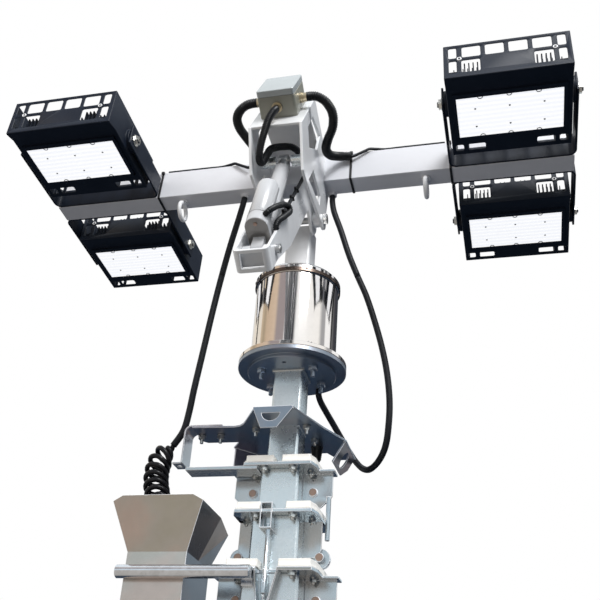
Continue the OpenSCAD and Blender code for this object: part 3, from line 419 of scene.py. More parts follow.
# %% Lamp glass
def lamp_glass(name):
    p = Paint(name)
    upright = (math.radians(-TIP), 0, 0)
    level = p.node("ShaderNodeMapping", {}, {"Vector": p.place, "Rotation": upright})
    height = p.node("ShaderNodeSeparateXYZ", {}, {0: level}, "Z")
    rows = ((height * 400).apply("SINE", 0.0) * 0.5 + 0.5).clamp()
    mottle = p.noise(60, 3)
    p.set(Base_Color=p.mix((rows * 0.35).clamp(), (0.93, 0.94, 0.96), (0.70, 0.73, 0.80)),
          Roughness=(0.12 + mottle * 0.05).clamp(), Coat_Weight=0.6, Coat_Roughness=0.05,
          # painted light: the glass glows faintly in the same rows, so it reads bright white
          Emission_Color=p.mix((rows * 0.45).clamp(), (1.0, 1.0, 1.0), (0.80, 0.84, 0.95)),
          Emission_Strength=0.85)
    return p.bump(rows, 0.0008, 0.5).material


led_glass = lamp_glass("led_glass")

# %% Give every CAD solid its finish
finishes = {
    mast_zinc: ["base_flange", "outer_tube"],
    rail_zinc: ["basket_rail"],
    basket_zinc: ["cable_basket"],
    tube_zinc: ["tube_3", "tube_2", "top_tube", "cross_tube"],
    collar_zinc: ["collar_2", "collar_3", "collar_4"],
    plated: ["rotator_base", "cable_bracket"],
    stainless: ["rotator_drum"],
    strap_zinc: ["hanger_strap"],
    pad_white: ["pads_2", "pads_3", "pads_4"],
    white_paint: ["post", "tilt_arm", "head_frame"],
    bar_paint: ["crossbar"],
    grey_paint: ["ram_body"],
    pin_steel: ["arm_pins", "ram_rod", "lifting_eyes", "pull_rope"],
    box_grey: ["junction_box"],
    lid_grey: ["box_lid"],
    gland_brass: ["box_glands"],
    black_coat: [f"yoke_{n}" for n in LAMPS] + [f"housing_{n}" for n in LAMPS],
    fin_black: [f"heat_sink_{n}" for n in LAMPS],
    led_glass: [f"lens_{n}" for n in LAMPS],
    cable_black: ["curly_cord", "drop_cable_left_lower", "drop_cable_right_lower",
                  "drop_cable_left_upper", "drop_cable_right_upper", "arm_cable", "bar_cables"],
    hose_black: ["conduit_left", "conduit_right", "conduit_front", "ram_conduit"],
}
for material, names in finishes.items():
    for name in names:
        nodes[name].data.materials.clear()
        nodes[name].data.materials.append(material)
print("finished solids:", sum(len(v) for v in finishes.values()), "of", len(nodes))

# %% [markdown]
# ## Edges that catch the light
#
# A CAD edge is perfectly sharp and so it is invisible: no real fold or saw cut is. A bevel of
# a millimetre or so gives every plate the thin bright line that tells the eye it is steel.
# The CAD mesh stays as it is; a copy of it is welded, bevelled and shown in its place. On the
# plates the bevel strips get a pale finish of their own, a painted highlight on the edge.

# %% Bevelled copies
SHARP_EDGE = math.radians(48)
ROUND_SURFACE = math.radians(20)
WELD_GAP = 2e-6


def eased(name, width, flat, cut):
    """A copy with bevelled edges. flat keeps its facets; cut is the bevel's painted highlight, or
    None.
    """
    solid = nodes[name]
    work = bmesh.new()
    work.from_mesh(solid.data)
    bmesh.ops.remove_doubles(work, verts=work.verts[:], dist=WELD_GAP)
    sharp = [e for e in work.edges
             if len(e.link_faces) == 2 and e.calc_face_angle() > SHARP_EDGE]
    strips = bmesh.ops.bevel(work, geom=sharp, offset=width, offset_type="OFFSET", segments=1,
                             profile=0.5, affect="EDGES", clamp_overlap=False,
                             material=-1)["faces"]
    if cut:
        for face in strips:
            face.material_index = 1
    mesh = bpy.data.meshes.new(f"{name}_eased")
    work.to_mesh(mesh)
    work.free()
    if not flat:
        mesh.shade_smooth()
        mesh.set_sharp_from_angle(angle=ROUND_SURFACE)
    mesh.materials.append(solid.data.materials[0])
    if cut:
        mesh.materials.append(cut)
    piece = bpy.data.objects.new(f"{name}_eased", mesh)
    bpy.context.scene.collection.objects.link(piece)
    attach(piece, solid["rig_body"])
    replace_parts(piece, name)
    return piece


SHEET_METAL = ["cable_basket", "cable_bracket"]
HIGHLIGHT_EDGED = SHEET_METAL + ["hanger_strap", "collar_2", "collar_3", "collar_4"]
EASED = {
    0.0010: HIGHLIGHT_EDGED + ["base_flange"],
    0.0012: ["tube_3", "tube_2", "top_tube", "outer_tube", "post", "tilt_arm", "head_frame",
             "crossbar", "ram_body", "rotator_base", "rotator_drum", "basket_rail"],
    0.0015: (["junction_box", "box_lid", "pads_2", "pads_3", "pads_4"]
             + [f"housing_{n}" for n in LAMPS] + [f"yoke_{n}" for n in LAMPS]),
}
shown = {}
for width, names in EASED.items():
    for name in names:
        shown[name] = eased(name, width, name in SHEET_METAL,
                            painted_edge_highlight if name in HIGHLIGHT_EDGED else None)
basket = shown["cable_basket"].data
basket.materials.append(painted_dark_reflection)
# The faces that turn to the right get the dark copy: a painted reflection.
FACES_RIGHT = 0.2
for face in basket.polygons:
    if face.normal.x > FACES_RIGHT and face.material_index == 0:
        face.material_index = 2
print("eased", len(shown), "solids,", sum(len(p.data.polygons) for p in shown.values()), "faces")

# %% [markdown]
# ## Cables and hoses
#
# A cable is a line with a thickness. Its line runs through a few points, in millimetres, and
# Bezier arcs join them without a corner. A curve object then gives the line a round section,
# and the result is turned into a mesh.

# %% Lines and tubes
ARC_POINTS = 8
ROUNDNESS = 3


def route(points, place=Matrix()):
    """A smooth line through points in millimetres, as a dense row of places in metres."""
    knots = [place @ (Vector(p) / 1000) for p in points]
    line = [knots[0]]
    for i in range(len(knots) - 1):
        a, b = knots[i], knots[i + 1]
        before, after = knots[max(i - 1, 0)], knots[min(i + 2, len(knots) - 1)]
        reach = (b - a).length / 3
        leave = a + (b - before).normalized() * reach
        arrive = b - (after - a).normalized() * reach
        line += geometry.interpolate_bezier(a, leave, arrive, b, ARC_POINTS)[1:]
    return line


def run(line):
    return sum((b - a).length for a, b in zip(line, line[1:]))


def evenly(line, step):
    """The same line with its points one step apart."""
    count = max(2, round(run(line) / step))
    goal, spaced, walked = run(line) / count, [line[0]], 0.0
    for a, b in zip(line, line[1:]):
        length = (b - a).length
        while len(spaced) < count and walked + length >= goal * len(spaced):
            spaced.append(a.lerp(b, (goal * len(spaced) - walked) / length))
        walked += length
    return spaced + [line[-1]]


def tube(name, line, diameter, finish, swell=(1.0,)):
    """A round jacket along a line. swell gives the share of the radius at each point in turn."""
    data = bpy.data.curves.new(name, "CURVE")
    data.dimensions = "3D"
    data.bevel_depth, data.bevel_resolution, data.use_fill_caps = diameter / 2, ROUNDNESS, True
    spline = data.splines.new("POLY")
    spline.points.add(len(line) - 1)
    for i, p in enumerate(line):
        spline.points[i].co = (*p, 1)
        spline.points[i].radius = swell[i % len(swell)]
    holder = bpy.data.objects.new(name, data)
    mesh = bpy.data.meshes.new_from_object(holder)
    bpy.data.objects.remove(holder)
    work = bmesh.new()
    work.from_mesh(mesh)
    bmesh.ops.remove_doubles(work, verts=work.verts[:], dist=WELD_GAP / 2)
    bmesh.ops.recalc_face_normals(work, faces=work.faces[:])
    work.to_mesh(mesh)
    work.free()
    mesh.materials.clear()
    mesh.materials.append(finish)
    mesh.shade_smooth()
    piece = bpy.data.objects.new(name, mesh)
    bpy.context.scene.collection.objects.link(piece)
    return piece


# %% [markdown]
# The two drop cables hang from the crossbar to the mast. Each crosses the tilt hinge and the
# slewing ring, so each is made as two lengths that meet at one point of the same line.

# %% Drop cables
LEFT_DROP = [
    (-180, -43, 2437), (-183, -44, 2410), (-192, -42, 2360), (-210, -37, 2270), (-228, -32, 2160),
    (-244, -28, 2040), (-258, -24, 1920), (-272, -20, 1800), (-280, -15, 1730), (-290, -12, 1680),
    (-315, -8, 1640),
]
RIGHT_DROP = [
    (92, -13, 2435), (93, -14, 2412), (98, -8, 2380), (118, 8, 2320), (142, 24, 2240),
    (168, 40, 2170), (192, 52, 2110), (216, 64, 2030), (236, 76, 1950), (250, 86, 1870),
    (256, 94, 1790), (252, 104, 1720), (241, 124, 1672), (219, 152, 1643), (190, 184, 1632),
    (164, 214, 1646), (140, 231, 1674), (118, 234, 1708), (98, 220, 1742), (80, 190, 1772),
    (66, 150, 1794), (58, 112, 1808), (56, 93, 1820), (56, 93, 1834.8),
]


def drop_cable(side, points, split, diameter, foot):
    """Two lengths that meet at point number split. foot is not used."""
    line = route(points)
    seam = split * (ARC_POINTS - 1)
    halves = (("upper", line[:seam + 1], ("tilt_head", "turret")),
              ("lower", line[seam:], ("turret", "top_section")))
    for part, half, bodies in halves:
        cable = tube(f"drop_cable_{side}_{part}_jacket", half, diameter, cable_black)
        last = half[-1] if part == "upper" else Vector((half[0].x, half[0].y, foot))
        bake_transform(cable)
        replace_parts(cable, f"drop_cable_{side}_{part}")
        run(half)
        print(cable.name, round(run(half), 3), "m")


drop_cable("left", LEFT_DROP, split=4, diameter=0.019, foot=1.64)
drop_cable("right", RIGHT_DROP, split=5, diameter=0.018, foot=1.84)

# %% [markdown]
# The curly cord stretches as the mast goes up. Its wire is a helix about a line that leans
# over the hopper and drops into the chute. At each point the helix steps sideways from the
# line, by a direction that is carried along so that it never twists by itself. Where the coil
# hangs free its turns are open and lean over; inside the chute they lie close and level.

# %% Curly cord
CURLY_LINE = [
    (-315, -8, 1640), (-321.25, -7, 1630), (-348, -4, 1598), (-354, 0, 1550), (-342, 2, 1500),
    (-318, 0, 1440), (-292, 2, 1380), (-281, 12, 1320), (-279, 18, 1250), (-279, 19, 1200),
    (-279, 19, 1100), (-279, 19, 1000), (-279, 19, 903.3),
]
WIRE = 0.0135
COIL_RADIUS = 0.0285
OPEN_PITCH, CLOSE_PITCH = 0.0215, 0.0165
LEAN = math.radians(42)
PER_TURN = 20
STEP = 0.001
TAPER_STEPS = 46
CHUTE_MOUTH, MOUTH_DEPTH = 1.40, 0.06


def helix(line, radius):
    """Turns about a line: open where the coil hangs over, close in the chute."""
    steps = evenly(line, STEP)
    side, angle = Vector((1, 0, 0)), 0.0
    turns, due, open_share = [], 0.0, 1.0
    for i, p in enumerate(steps):
        ahead = steps[min(i + 1, len(steps) - 1)] - steps[max(i - 1, 0)]
        along = ahead.normalized()
        side = (side - along * side.dot(along)).normalized()
        if angle >= due:
            ends = min(1.0, min(i, len(steps) - 1 - i) / TAPER_STEPS)
            reach = radius * ends * ends * (3 - 2 * ends)
            open_share = min(1.0, max(0.0, (p.z - CHUTE_MOUTH) / MOUTH_DEPTH))
            lean = LEAN * open_share
            depth = along.cross(side) * math.cos(lean) - along * math.sin(lean)
            turns.append(p + reach * (math.cos(angle) * depth + math.sin(angle) * side))
            due += 2 * math.pi / PER_TURN
        pitch = CLOSE_PITCH + open_share * (OPEN_PITCH - CLOSE_PITCH)
        angle += 2 * math.pi * STEP / pitch
    return turns


curly_wire = helix(route(CURLY_LINE), COIL_RADIUS)
curly = tube("curly_cord_wire", curly_wire, WIRE, coil_black)
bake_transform(curly)
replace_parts(curly, "curly_cord")
run(curly_wire)
print("curly cord", len(curly_wire), "points,", round(run(curly_wire), 2), "m of wire")

# %% [markdown]
# The head's wiring runs in corrugated conduit. Its rings are a swelling that repeats every few
# millimetres, so the line gets four points per ring: two out, two in.

# %% Corrugated conduits on the head and at the ram
RING_PITCH = 0.0046
RINGS = (1.0, 1.0, 0.86, 0.86)
CONDUITS = {
    "conduit_left": (0.028, [
        (-73.8, 220, 283), (-88, 220, 283), (-106, 218, 281), (-127, 208, 273), (-142, 200, 252),
        (-142, 190, 225), (-130, 182, 190), (-116, 178, 150), (-108, 176, 110), (-106, 175, 70),
        (-106, 175, 36),
    ]),
    "conduit_right": (0.028, [
        (73.8, 220, 283), (88, 220, 283), (105, 218, 279), (126, 210, 262), (138, 198, 228),
        (132, 180, 192), (114, 162, 165), (102, 156, 135), (104, 166, 98), (118, 184, 70),
        (136, 194, 56), (160, 196, 50.5),
    ]),
    "conduit_front": (0.022, [
        (0, 134, 327), (-3, 118, 335), (-14, 88, 336), (-28, 52, 320), (-40, 24, 300),
        (-48, 4, 276), (-48, 10, 252), (-40, 46, 242), (-37, 84, 226), (-28, 110, 206),
        (-8, 128, 188), (12, 132, 178), (30, 120, 168), (46, 102, 160), (57, 98, 158),
        (68.2, 98, 158),
    ]),
}
RAM_CONDUIT = [
    (22.7, -64.2, 60), (28.4, -69.3, 60), (34.5, -71, 67), (39, -67, 80), (42.5, -58, 102),
    (46, -46, 126), (49.5, -32, 150), (53, -17, 168), (56, -6, 173), (57, -2, 163), (56, -7, 146),
    (54.5, -14, 127), (53, -21, 108), (50, -29, 88), (45.5, -32, 73), (42, -28, 63),
    (41.5, -23.5, 59.6), (41.5, -19, 58.6),
]


def conduit(name, points, place, diameter):
    line = evenly(route(points, place), RING_PITCH / len(RINGS))
    hose = tube(f"{name}_hose", line, diameter, hose_black, RINGS)
    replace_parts(hose, name)
    run(line)
    print(name, round(run(line), 3), "m,", len(line), "points")
    return hose, line


for name, (diameter, points) in CONDUITS.items():
    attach(conduit(name, points, head, diameter)[0], "tilt_head")
ram_hose, ram_line = conduit("ram_conduit", RAM_CONDUIT, ram, diameter=0.016)
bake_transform(ram_hose)

# %% [markdown]
# Two leads are held by ties all the way, so they are no free cords: the ram lead on the arm's
# edge and the lamps' leads behind the crossbar.

# %% Tied leads
ARM_CABLE = [
    (41.5, -36.5, 92), (41.5, -36.5, 120), (41.5, -36.5, 190), (41.5, -36.5, 260),
    (41.5, -36.5, 330), (41.5, -36.5, 400), (41.5, -37, 440), (41.5, -36.3, 448.5),
    (41.5, -31, 455), (41.5, 15, 483.3), (41.5, 60, 516), (41.5, 70, 518.6), (41.5, 88, 518.6),
]
BAR_CABLE = [
    (160.3, 196, 50.4), (166, 196.5, 49.1), (182, 206, 47), (204, 220, 44), (214, 227, 41.5),
    (230, 230.5, 35), (260, 229.2, 30), (300, 229.2, 30), (360, 229.2, 30), (420, 229.2, 30),
    (440, 229.2, 30),
]
arm_lead = tube("arm_lead", route(ARM_CABLE, arm), 0.010, cable_black)
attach(arm_lead, "turret")
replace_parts(arm_lead, "arm_cable")
bar_leads = []
for side, mirror in (("left", -1), ("right", 1)):
    line = route([(mirror * x, y, z) for x, y, z in BAR_CABLE], head)
    lead = tube(f"bar_lead_{side}", line, 0.009, cable_black)
    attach(lead, "tilt_head")
    bar_leads.append(lead)
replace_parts(bar_leads[0], "bar_cables")

# %% [markdown]
# ## Hauling rope
#
# A taut wire rope runs from the third section down to the base. As the mast rises, its top
# goes up with that section and its foot stays. A radius that changes at every other point
# gives it the knobbly look of twisted strands.

# %% Hauling rope
ROPE_X, ROPE_Y, ROPE_FOOT, ROPE_HEAD = -0.009, -0.082, 0.0403, 1.237
ROPE_WIDTH, ROPE_PARTS = 0.008, 160
rope_rise = ROPE_HEAD - ROPE_FOOT
rope_line = [Vector((ROPE_X, ROPE_Y, ROPE_FOOT + rope_rise * i / ROPE_PARTS))
             for i in range(ROPE_PARTS + 1)]
hauling_rope = tube("hauling_rope", rope_line, ROPE_WIDTH, pin_steel, (1.0, 0.9))
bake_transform(hauling_rope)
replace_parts(hauling_rope, "pull_rope")
run(rope_line)
print("hauling rope", round(run(rope_line), 3), "m")

# %% [markdown]
# ## Nuts, bolts and other small iron
#
# A bolted joint shows a washer, a hexagon and the end of a stud. Modelled once as a few
# cones in a bmesh, it can be stamped wherever it is needed. All stamps of one finish on one
# moving part go into one mesh, a tray, so the scene stays light.

# %% Trays of small parts
TURNED_SURFACE = math.radians(32)


def add_block(work, place, size):
    made = bmesh.ops.create_cube(work, size=1)["verts"]
    bmesh.ops.scale(work, vec=size, verts=made)
    bmesh.ops.transform(work, matrix=place, verts=made)


class Tray:
    """Small parts of one finish that ride on one body."""

    def __init__(self, name, finish, body):
        self.name, self.finish, self.body, self.work = name, finish, body, bmesh.new()

    def cone(self, foot, along, length, width, tip=None, sides=16):
        """A round or hexagonal bar from a foot point, sizes in metres."""
        direction = Vector(along).normalized()
        spin = direction.to_track_quat("Z", "Y").to_matrix().to_4x4()
        place = Matrix.Translation(Vector(foot) + direction * length / 2) @ spin
        bmesh.ops.create_cone(self.work, cap_ends=True, segments=sides, radius1=width / 2,
                              radius2=(width if tip is None else tip) / 2, depth=length,
                              matrix=place)

    def block(self, place, size):
        """A small bar of metal; place is a matrix."""
        add_block(self.work, place, size)

    def ring(self, place, radius, wire, turns=32):
        """A round wire bent to a circle about the local Z axis."""
        sides, thick = 10, wire / 2
        section = [Vector((radius - thick * math.sin(2 * math.pi * k / sides), 0,
                           thick * math.cos(2 * math.pi * k / sides))) for k in range(sides)]
        hoops = []
        for i in range(turns):
            spun = place @ turn(360 * i / turns, "Z")
            hoops.append([self.work.verts.new(spun @ p) for p in section])
        for i in range(turns):
            here, there = hoops[i - 1], hoops[i]
            for k in range(sides):
                self.work.faces.new((here[k - 1], here[k], there[k], there[k - 1]))

    def bolt(self, seat, along, size, stud=0.6):
        """Washer, hexagon and stud end, growing out of a seat."""
        out = Vector(along).normalized()
        seat = Vector(seat)
        self.cone(seat, out, size * 0.2, size * 2.1)
        self.cone(seat + out * size * 0.2, out, size * 0.75, size * 1.9, size * 1.9, 6)
        self.cone(seat + out * size * 0.95, out, size * 0.12, size * 1.6, size * 1.2)
        self.cone(seat + out * size, out, size * stud, size, size * 0.85, 12)

    def close(self):
        bmesh.ops.recalc_face_normals(self.work, faces=self.work.faces[:])
        mesh = bpy.data.meshes.new(self.name)
        self.work.to_mesh(mesh)
        self.work.free()
        mesh.shade_smooth()
        mesh.set_sharp_from_angle(angle=TURNED_SURFACE)
        mesh.materials.append(self.finish)
        piece = bpy.data.objects.new(self.name, mesh)
        bpy.context.scene.collection.objects.link(piece)
        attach(piece, self.body)
        print(self.name, len(mesh.polygons), "faces")
        return piece


# %% [markdown]
# Each collar is bolted up through its plate: two nuts under the front edge, two under each
# side, and the same at the back. The pulleys' pins have flat, coppery heads.

# %% Collar hardware
# Underside of the plate, half the tube's width, and how far out and how high the pulleys are
COLLARS = {
    "section_2": (1.5520, 0.05, 0.079, 1.5027),
    "section_3": (1.4280, 0.06, 0.103, 1.3402),
    "outer_mast": (1.2870, 0.07, 0.099, 1.2382),
}
DOWN, FRONT = (0, 0, -1), (0, -1, 0)
for body, (under, wall, pulley_x, pulley_z) in COLLARS.items():
    nuts = Tray(f"collar_nuts_{body}", bolt_steel, body)
    for sx in (-1, 1):
        for sy in (-1, 1):
            nuts.bolt((sx * (wall - 0.013), sy * (wall + 0.015), under), DOWN, 0.010)
            nuts.bolt((sx * (wall + 0.024), sy * 0.020, under), DOWN, 0.009)
    nuts.close()
    pins = Tray(f"pulley_pins_{body}", copper_brown, body)
    for sx in (-1, 1):
        pins.cone((sx * pulley_x, -0.0098, pulley_z), FRONT, 0.0012, 0.0195, 0.0175, 24)
    pins.close()

# %% [markdown]
# Under the bracket's plate sit five nuts, and a rubber bush that narrows ring by ring. The
# drum has a row of screws round its cap and a few small ones near its foot.

# %% Bracket and drum hardware
PLATE_UNDER = 1.6712
BUSH_X, BUSH_Y, BUSH_TIP = 0.054, 0.115, 1.6330
BUSH_RING, BUSH_TAPER = 0.0055, 0.0012
bracket_nuts = Tray("bracket_nuts", bolt_steel, "top_section")
for x, y in ((-0.078, -0.031), (0.060, -0.036), (-0.240, 0.005), (-0.187, 0.006)):
    bracket_nuts.bolt((x, y, PLATE_UNDER), DOWN, 0.0105, 1.1)
bracket_nuts.bolt((0.060, 0.060, PLATE_UNDER), DOWN, 0.0105)
bracket_nuts.close()
bush = Tray("cable_bush", hose_black, "top_section")
for ring in range(7):
    bush.cone((BUSH_X, BUSH_Y, PLATE_UNDER - BUSH_RING * ring), DOWN, BUSH_RING,
              0.034 - BUSH_TAPER * ring, 0.028 - BUSH_TAPER * ring, 20)
bush.cone((BUSH_X, BUSH_Y, BUSH_TIP), DOWN, 0.012, 0.012, 0.010, 12)
bush.close()

DRUM_RADIUS = 0.118
CAP_SCREWS, FOOT_SCREWS = range(-155, 180, 45), (-56, -52, 34, 124, 214)
drum_screws = Tray("drum_screws", dark_bolt, "turret")
for bearings, proud, rise, wide, narrow in ((CAP_SCREWS, 0.0045, 0.269, 0.009, 0.007),
                                            (FOOT_SCREWS, -0.0006, 0.040, 0.006, 0.005)):
    for degrees in bearings:
        out = Vector((math.cos(math.radians(degrees)), math.sin(math.radians(degrees)), 0))
        seat = out * (DRUM_RADIUS + proud) + Vector((0, 0, SLEW + rise))
        drum_screws.cone(seat, out, 0.0022, wide, narrow, 14)
drum_screws.close()

# %% [markdown]
# ## The drum's bands
#
# The drum's cap has a bright rim, and under it a dark brown skirt; the lower flange is dark
# brown underneath. Both browns are painted reflections of what the polished steel mirrors
# there, shown by thin discs that stand just proud of the CAD's surface. A weld runs round the
# tube where it meets the rotator's disc.

# %% Drum bands and the weld
def band(name, finish, rise, radius, height):
    """A disc about the drum's axis, rise above the slewing ring."""
    disc = Tray(name, finish, "turret")
    disc.cone((0, 0, SLEW + rise), (0, 0, 1), height, 2 * radius, sides=96)
    disc.close()


# painted reflection: dark brown discs stand for what the polished steel mirrors there
band("drum_skirt", skirt_painted_reflection, 0.2598, 0.1234, 0.0100)
band("flange_underside", flange_painted_reflection, 0.0118, 0.1480, 0.0008)
WELD_OUT, WELD_DROP, WELD_WIDTH = 0.041, 0.0115, 0.008
weld = Tray("tube_weld", bolt_steel, "top_section")
for sx, sy in ((1, 1), (-1, 1), (-1, -1), (1, -1)):
    corner = Vector((WELD_OUT * sx, WELD_OUT * sy, SLEW - WELD_DROP))
    along = Vector((0, -sy, 0)) if sx == sy else Vector((-sx, 0, 0))
    weld.cone(corner, along, 2 * WELD_OUT, WELD_WIDTH, sides=10)
weld.close()

# %% [markdown]
# ## The arm's foot
#
# The foot is a bent strap that is open below, so the pin shows inside. A boolean with a plain
# block cuts that opening out of the shown copy, and a thin plate closes it further up. The
# plate's grey is painted shade for the shadowed inside of the white foot. The ram's lower cap
# and its screw are the pieces next to it.

# %% Opening in the foot
def cut_block(piece, place, size):
    block = bmesh.new()
    add_block(block, place, size)
    mesh = bpy.data.meshes.new("cutter")
    block.to_mesh(mesh)
    block.free()
    cutter = bpy.data.objects.new("cutter", mesh)
    bpy.context.scene.collection.objects.link(cutter)
    modifier = piece.modifiers.new("opening", "BOOLEAN")
    modifier.operation, modifier.object, modifier.solver = "DIFFERENCE", cutter, "EXACT"
    graph = bpy.context.evaluated_depsgraph_get()
    shape = bpy.data.meshes.new_from_object(piece.evaluated_get(graph))
    piece.modifiers.clear()
    piece.data = shape
    bpy.data.objects.remove(cutter)
    print(piece.name, "cut,", len(shape.polygons), "faces")


OPENING, SHADE_PLATE = (0.058, 0.040, 0.030), (0.072, 0.044, 0.002)
cut_block(shown["tilt_arm"], at(arm, 0, -0.002, -0.0760), OPENING)
spacers = Tray("pin_spacers", white_paint, "turret")
for side in (-1, 1):
    spacers.cone(RAM_FOOT + Vector((side * 0.0165, 0, 0)), (side, 0, 0), 0.0195, 0.0268, sides=24)
spacers.close()
# painted shade: the grey of this plate stands for the shadowed inside of the white foot
foot_shade_plate = Tray("foot_shade_plate", grey_paint, "turret")
foot_shade_plate.block(at(arm, 0, -0.001, -0.0500), SHADE_PLATE)
foot_shade_plate.close()
pin_nuts = Tray("pin_nuts", bolt_steel, "turret")
pin_nuts.cone(RAM_FOOT + Vector((0.0575, 0, 0)), (1, 0, 0), 0.0005, 0.020, sides=6)
for side in (-1, 1):
    pin_nuts.cone(HINGE + Vector((side * 0.0772, 0, 0)), (side, 0, 0), 0.0092, 0.0330, 0.0330, 6)
pin_nuts.close()
MOTOR_OFFSET = 0.044
CAP_Z, CAP_WIDTH, CAP_THICK = 0.0334, 0.058, 0.0008
ram_turn = ram.to_3x3()
cap = Tray("ram_cap", cap_grey, "ram")
for y in (0, -MOTOR_OFFSET):
    cap.cone(ram @ Vector((0, y, CAP_Z)), ram_turn @ Vector((0, 0, 1)), CAP_THICK, CAP_WIDTH,
             sides=40)
cap.block(at(ram, 0, -MOTOR_OFFSET / 2, CAP_Z + CAP_THICK / 2),
          (CAP_WIDTH, MOTOR_OFFSET, CAP_THICK))
cap.close()
cap_screw = Tray("ram_cap_screw", copper_brown, "ram")
cap_screw.cone(ram @ Vector((0, -MOTOR_OFFSET - 0.012, CAP_Z)), ram_turn @ Vector(DOWN),
               0.003, 0.010)
cap_screw.close()

# %% [markdown]
# ## Cable ties
#
# Plastic ties hold the leads. A tie round the bar is four flat bands and a square head; on
# the arm only a head and a short strip are seen.

# %% Ties on the bar and the arm
BAR_Y, BAR_Z, BAR_DEPTH, BAR_HEIGHT = 0.172, 0.004, 0.1072, 0.0672
TIE_WIDE, TIE_THICK = 0.007, 0.0016
TIE_HEAD_Y, TIE_HEAD_Z = 0.048, 0.0362
ties = Tray("bar_ties", tie_black, "tilt_head")
for x in (0.158, 0.455, -0.455):
    middle = Vector((x, BAR_Y, BAR_Z))
    for offset, size in (((0, BAR_DEPTH / 2, 0), (TIE_WIDE, TIE_THICK, BAR_HEIGHT)),
                         ((0, 0, BAR_HEIGHT / 2), (TIE_WIDE, BAR_DEPTH, TIE_THICK))):
        for side in (-1, 1):
            ties.block(at(head, *(middle + side * Vector(offset))), size)
    ties.block(at(head, x, BAR_Y + TIE_HEAD_Y, BAR_Z + TIE_HEAD_Z), (0.009, 0.008, 0.007))
ties.close()
arm_ties = Tray("arm_ties", tie_black, "turret")
for run_up in (0.150, 0.262, 0.330):
    arm_ties.block(at(arm, 0.0415, -0.0445, run_up), (0.006, 0.007, 0.007))
    arm_ties.block(at(arm, 0.0435, -0.0370, run_up), (0.012, 0.012, 0.004))
arm_ties.close()

# %% [markdown]
# ## Lifting rings
#
# Two round rings hang under the bar. Each is a wire bent to a circle, on a short shank with
# a collar.

# %% Lifting rings
RING_OUT, RING_SEAT, RING_CENTRE = 0.380, 0.120, 0.082
rings = Tray("lifting_rings", ring_white, "tilt_head")
hang = head.to_3x3() @ Vector((0, -1, 0))
for x in (-RING_OUT, RING_OUT):
    seat = head @ Vector((x, RING_SEAT, BAR_Z))
    rings.cone(seat, hang, 0.005, 0.026, sides=24)
    rings.cone(seat, hang, 0.012, 0.014)
    rings.ring(at(head, x, RING_CENTRE, BAR_Z) @ turn(90, "Y"), 0.028, 0.013)
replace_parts(rings.close(), "lifting_eyes")

# %% [markdown]
# ## Lamp trims
#
# Every lamp has a raised frame round its glass with three clips above and below, six small
# screws on the glass, two pale screws in the top sheet, combs of fins behind the windows
# and a stack of nuts on each pivot. The numbers are in the lamp's own frame, so the same lines
# serve for all four.

# %% Lamp trims
GLASS_TOP, GLASS_FOOT, GLASS_SIDE, GLASS_FACE = 0.063, -0.087, 0.140, -0.049
FRAME_Y, TOP_SHEET, WINDOW_X, PIVOT_X = -0.048, 0.137, 0.092, 0.1786
for n, place in LAMPS.items():
    level, body = at(head, *place), f"lamp_{n}"
    aim = level.to_3x3()
    frame_bars = Tray(f"lamp_frame_{n}", black_coat, body)
    for z, height in ((GLASS_TOP + 0.002, 0.014), (GLASS_FOOT - 0.002, 0.009)):
        frame_bars.block(at(level, 0, FRAME_Y, z), (0.296, 0.005, height))
    for side in (-1, 1):
        frame_bars.block(at(level, side * (GLASS_SIDE + 0.003), FRAME_Y, -0.012),
                         (0.010, 0.005, 0.166))
    for x in (-0.075, 0.0, 0.075):
        for z in (GLASS_TOP - 0.005, GLASS_FOOT + 0.003):
            clip = at(level, x, GLASS_FACE - 0.0012, z) @ turn(90, "X")
            frame_bars.ring(clip, 0.0062, 0.0022, 20)
    frame_bars.close()
    glass_screws = Tray(f"glass_screws_{n}", dot_grey, body)
    for x in (-0.090, 0.0, 0.089):
        for z in (0.016, -0.049):
            glass_screws.cone(level @ Vector((x, GLASS_FACE, z)), aim @ Vector((0, -1, 0)),
                              0.0008, 0.0058, 0.005)
    glass_screws.close()
    sheet_screws = Tray(f"sheet_screws_{n}", ring_white, body)
    for x in (-0.121, 0.121):
        sheet_screws.ring(at(level, x, 0.0145, TOP_SHEET + 0.0008), 0.0048, 0.0034, 20)
    sheet_screws.close()
    comb = Tray(f"fin_comb_{n}", fin_black, body)
    for side in (-1, 1):
        for step in (-1.5, -0.5, 0.5, 1.5):
            comb.block(at(level, side * WINDOW_X + step * 0.0112, -0.013, 0.118),
                       (0.0032, 0.044, 0.014))
        comb.block(at(level, side * WINDOW_X, -0.028, 0.120), (0.056, 0.018, 0.002))
        comb.block(at(level, side * 0.1385, -0.026, 0.120), (0.026, 0.022, 0.002))
        for step in (-0.5, 0.5):
            comb.block(at(level, side * 0.030 + step * 0.012, 0.030, 0.112),
                       (0.003, 0.016, 0.014))
    comb.close()
    nuts = Tray(f"pivot_nuts_{n}", nut_olive, body)
    for side in (-1, 1):
        out = aim @ Vector((side, 0, 0))
        nuts.cone(level @ Vector((side * PIVOT_X, 0, 0)), out, 0.0012, 0.036, sides=28)
        nuts.cone(level @ Vector((side * 0.1798, 0, 0)), out, 0.0078, 0.0300, sides=6)
        nuts.cone(level @ Vector((side * 0.1876, 0, 0)), out, 0.0044, 0.0170, 0.0150, 14)
    nuts.close()

# %% [markdown]
# ## The stage
#
# Polished steel has no colour of its own: it shows what stands around it. A plain white room
# would make a polished drum look like paper. So the upper sky is hung like a studio: white
# screens, warm walls and dark gaps between, as one ramp round the compass. Lower down it is
# calm, with a warm horizon and pale blue above it, and straight overhead it is cool and
# bright. The camera itself sees a plain white backdrop.

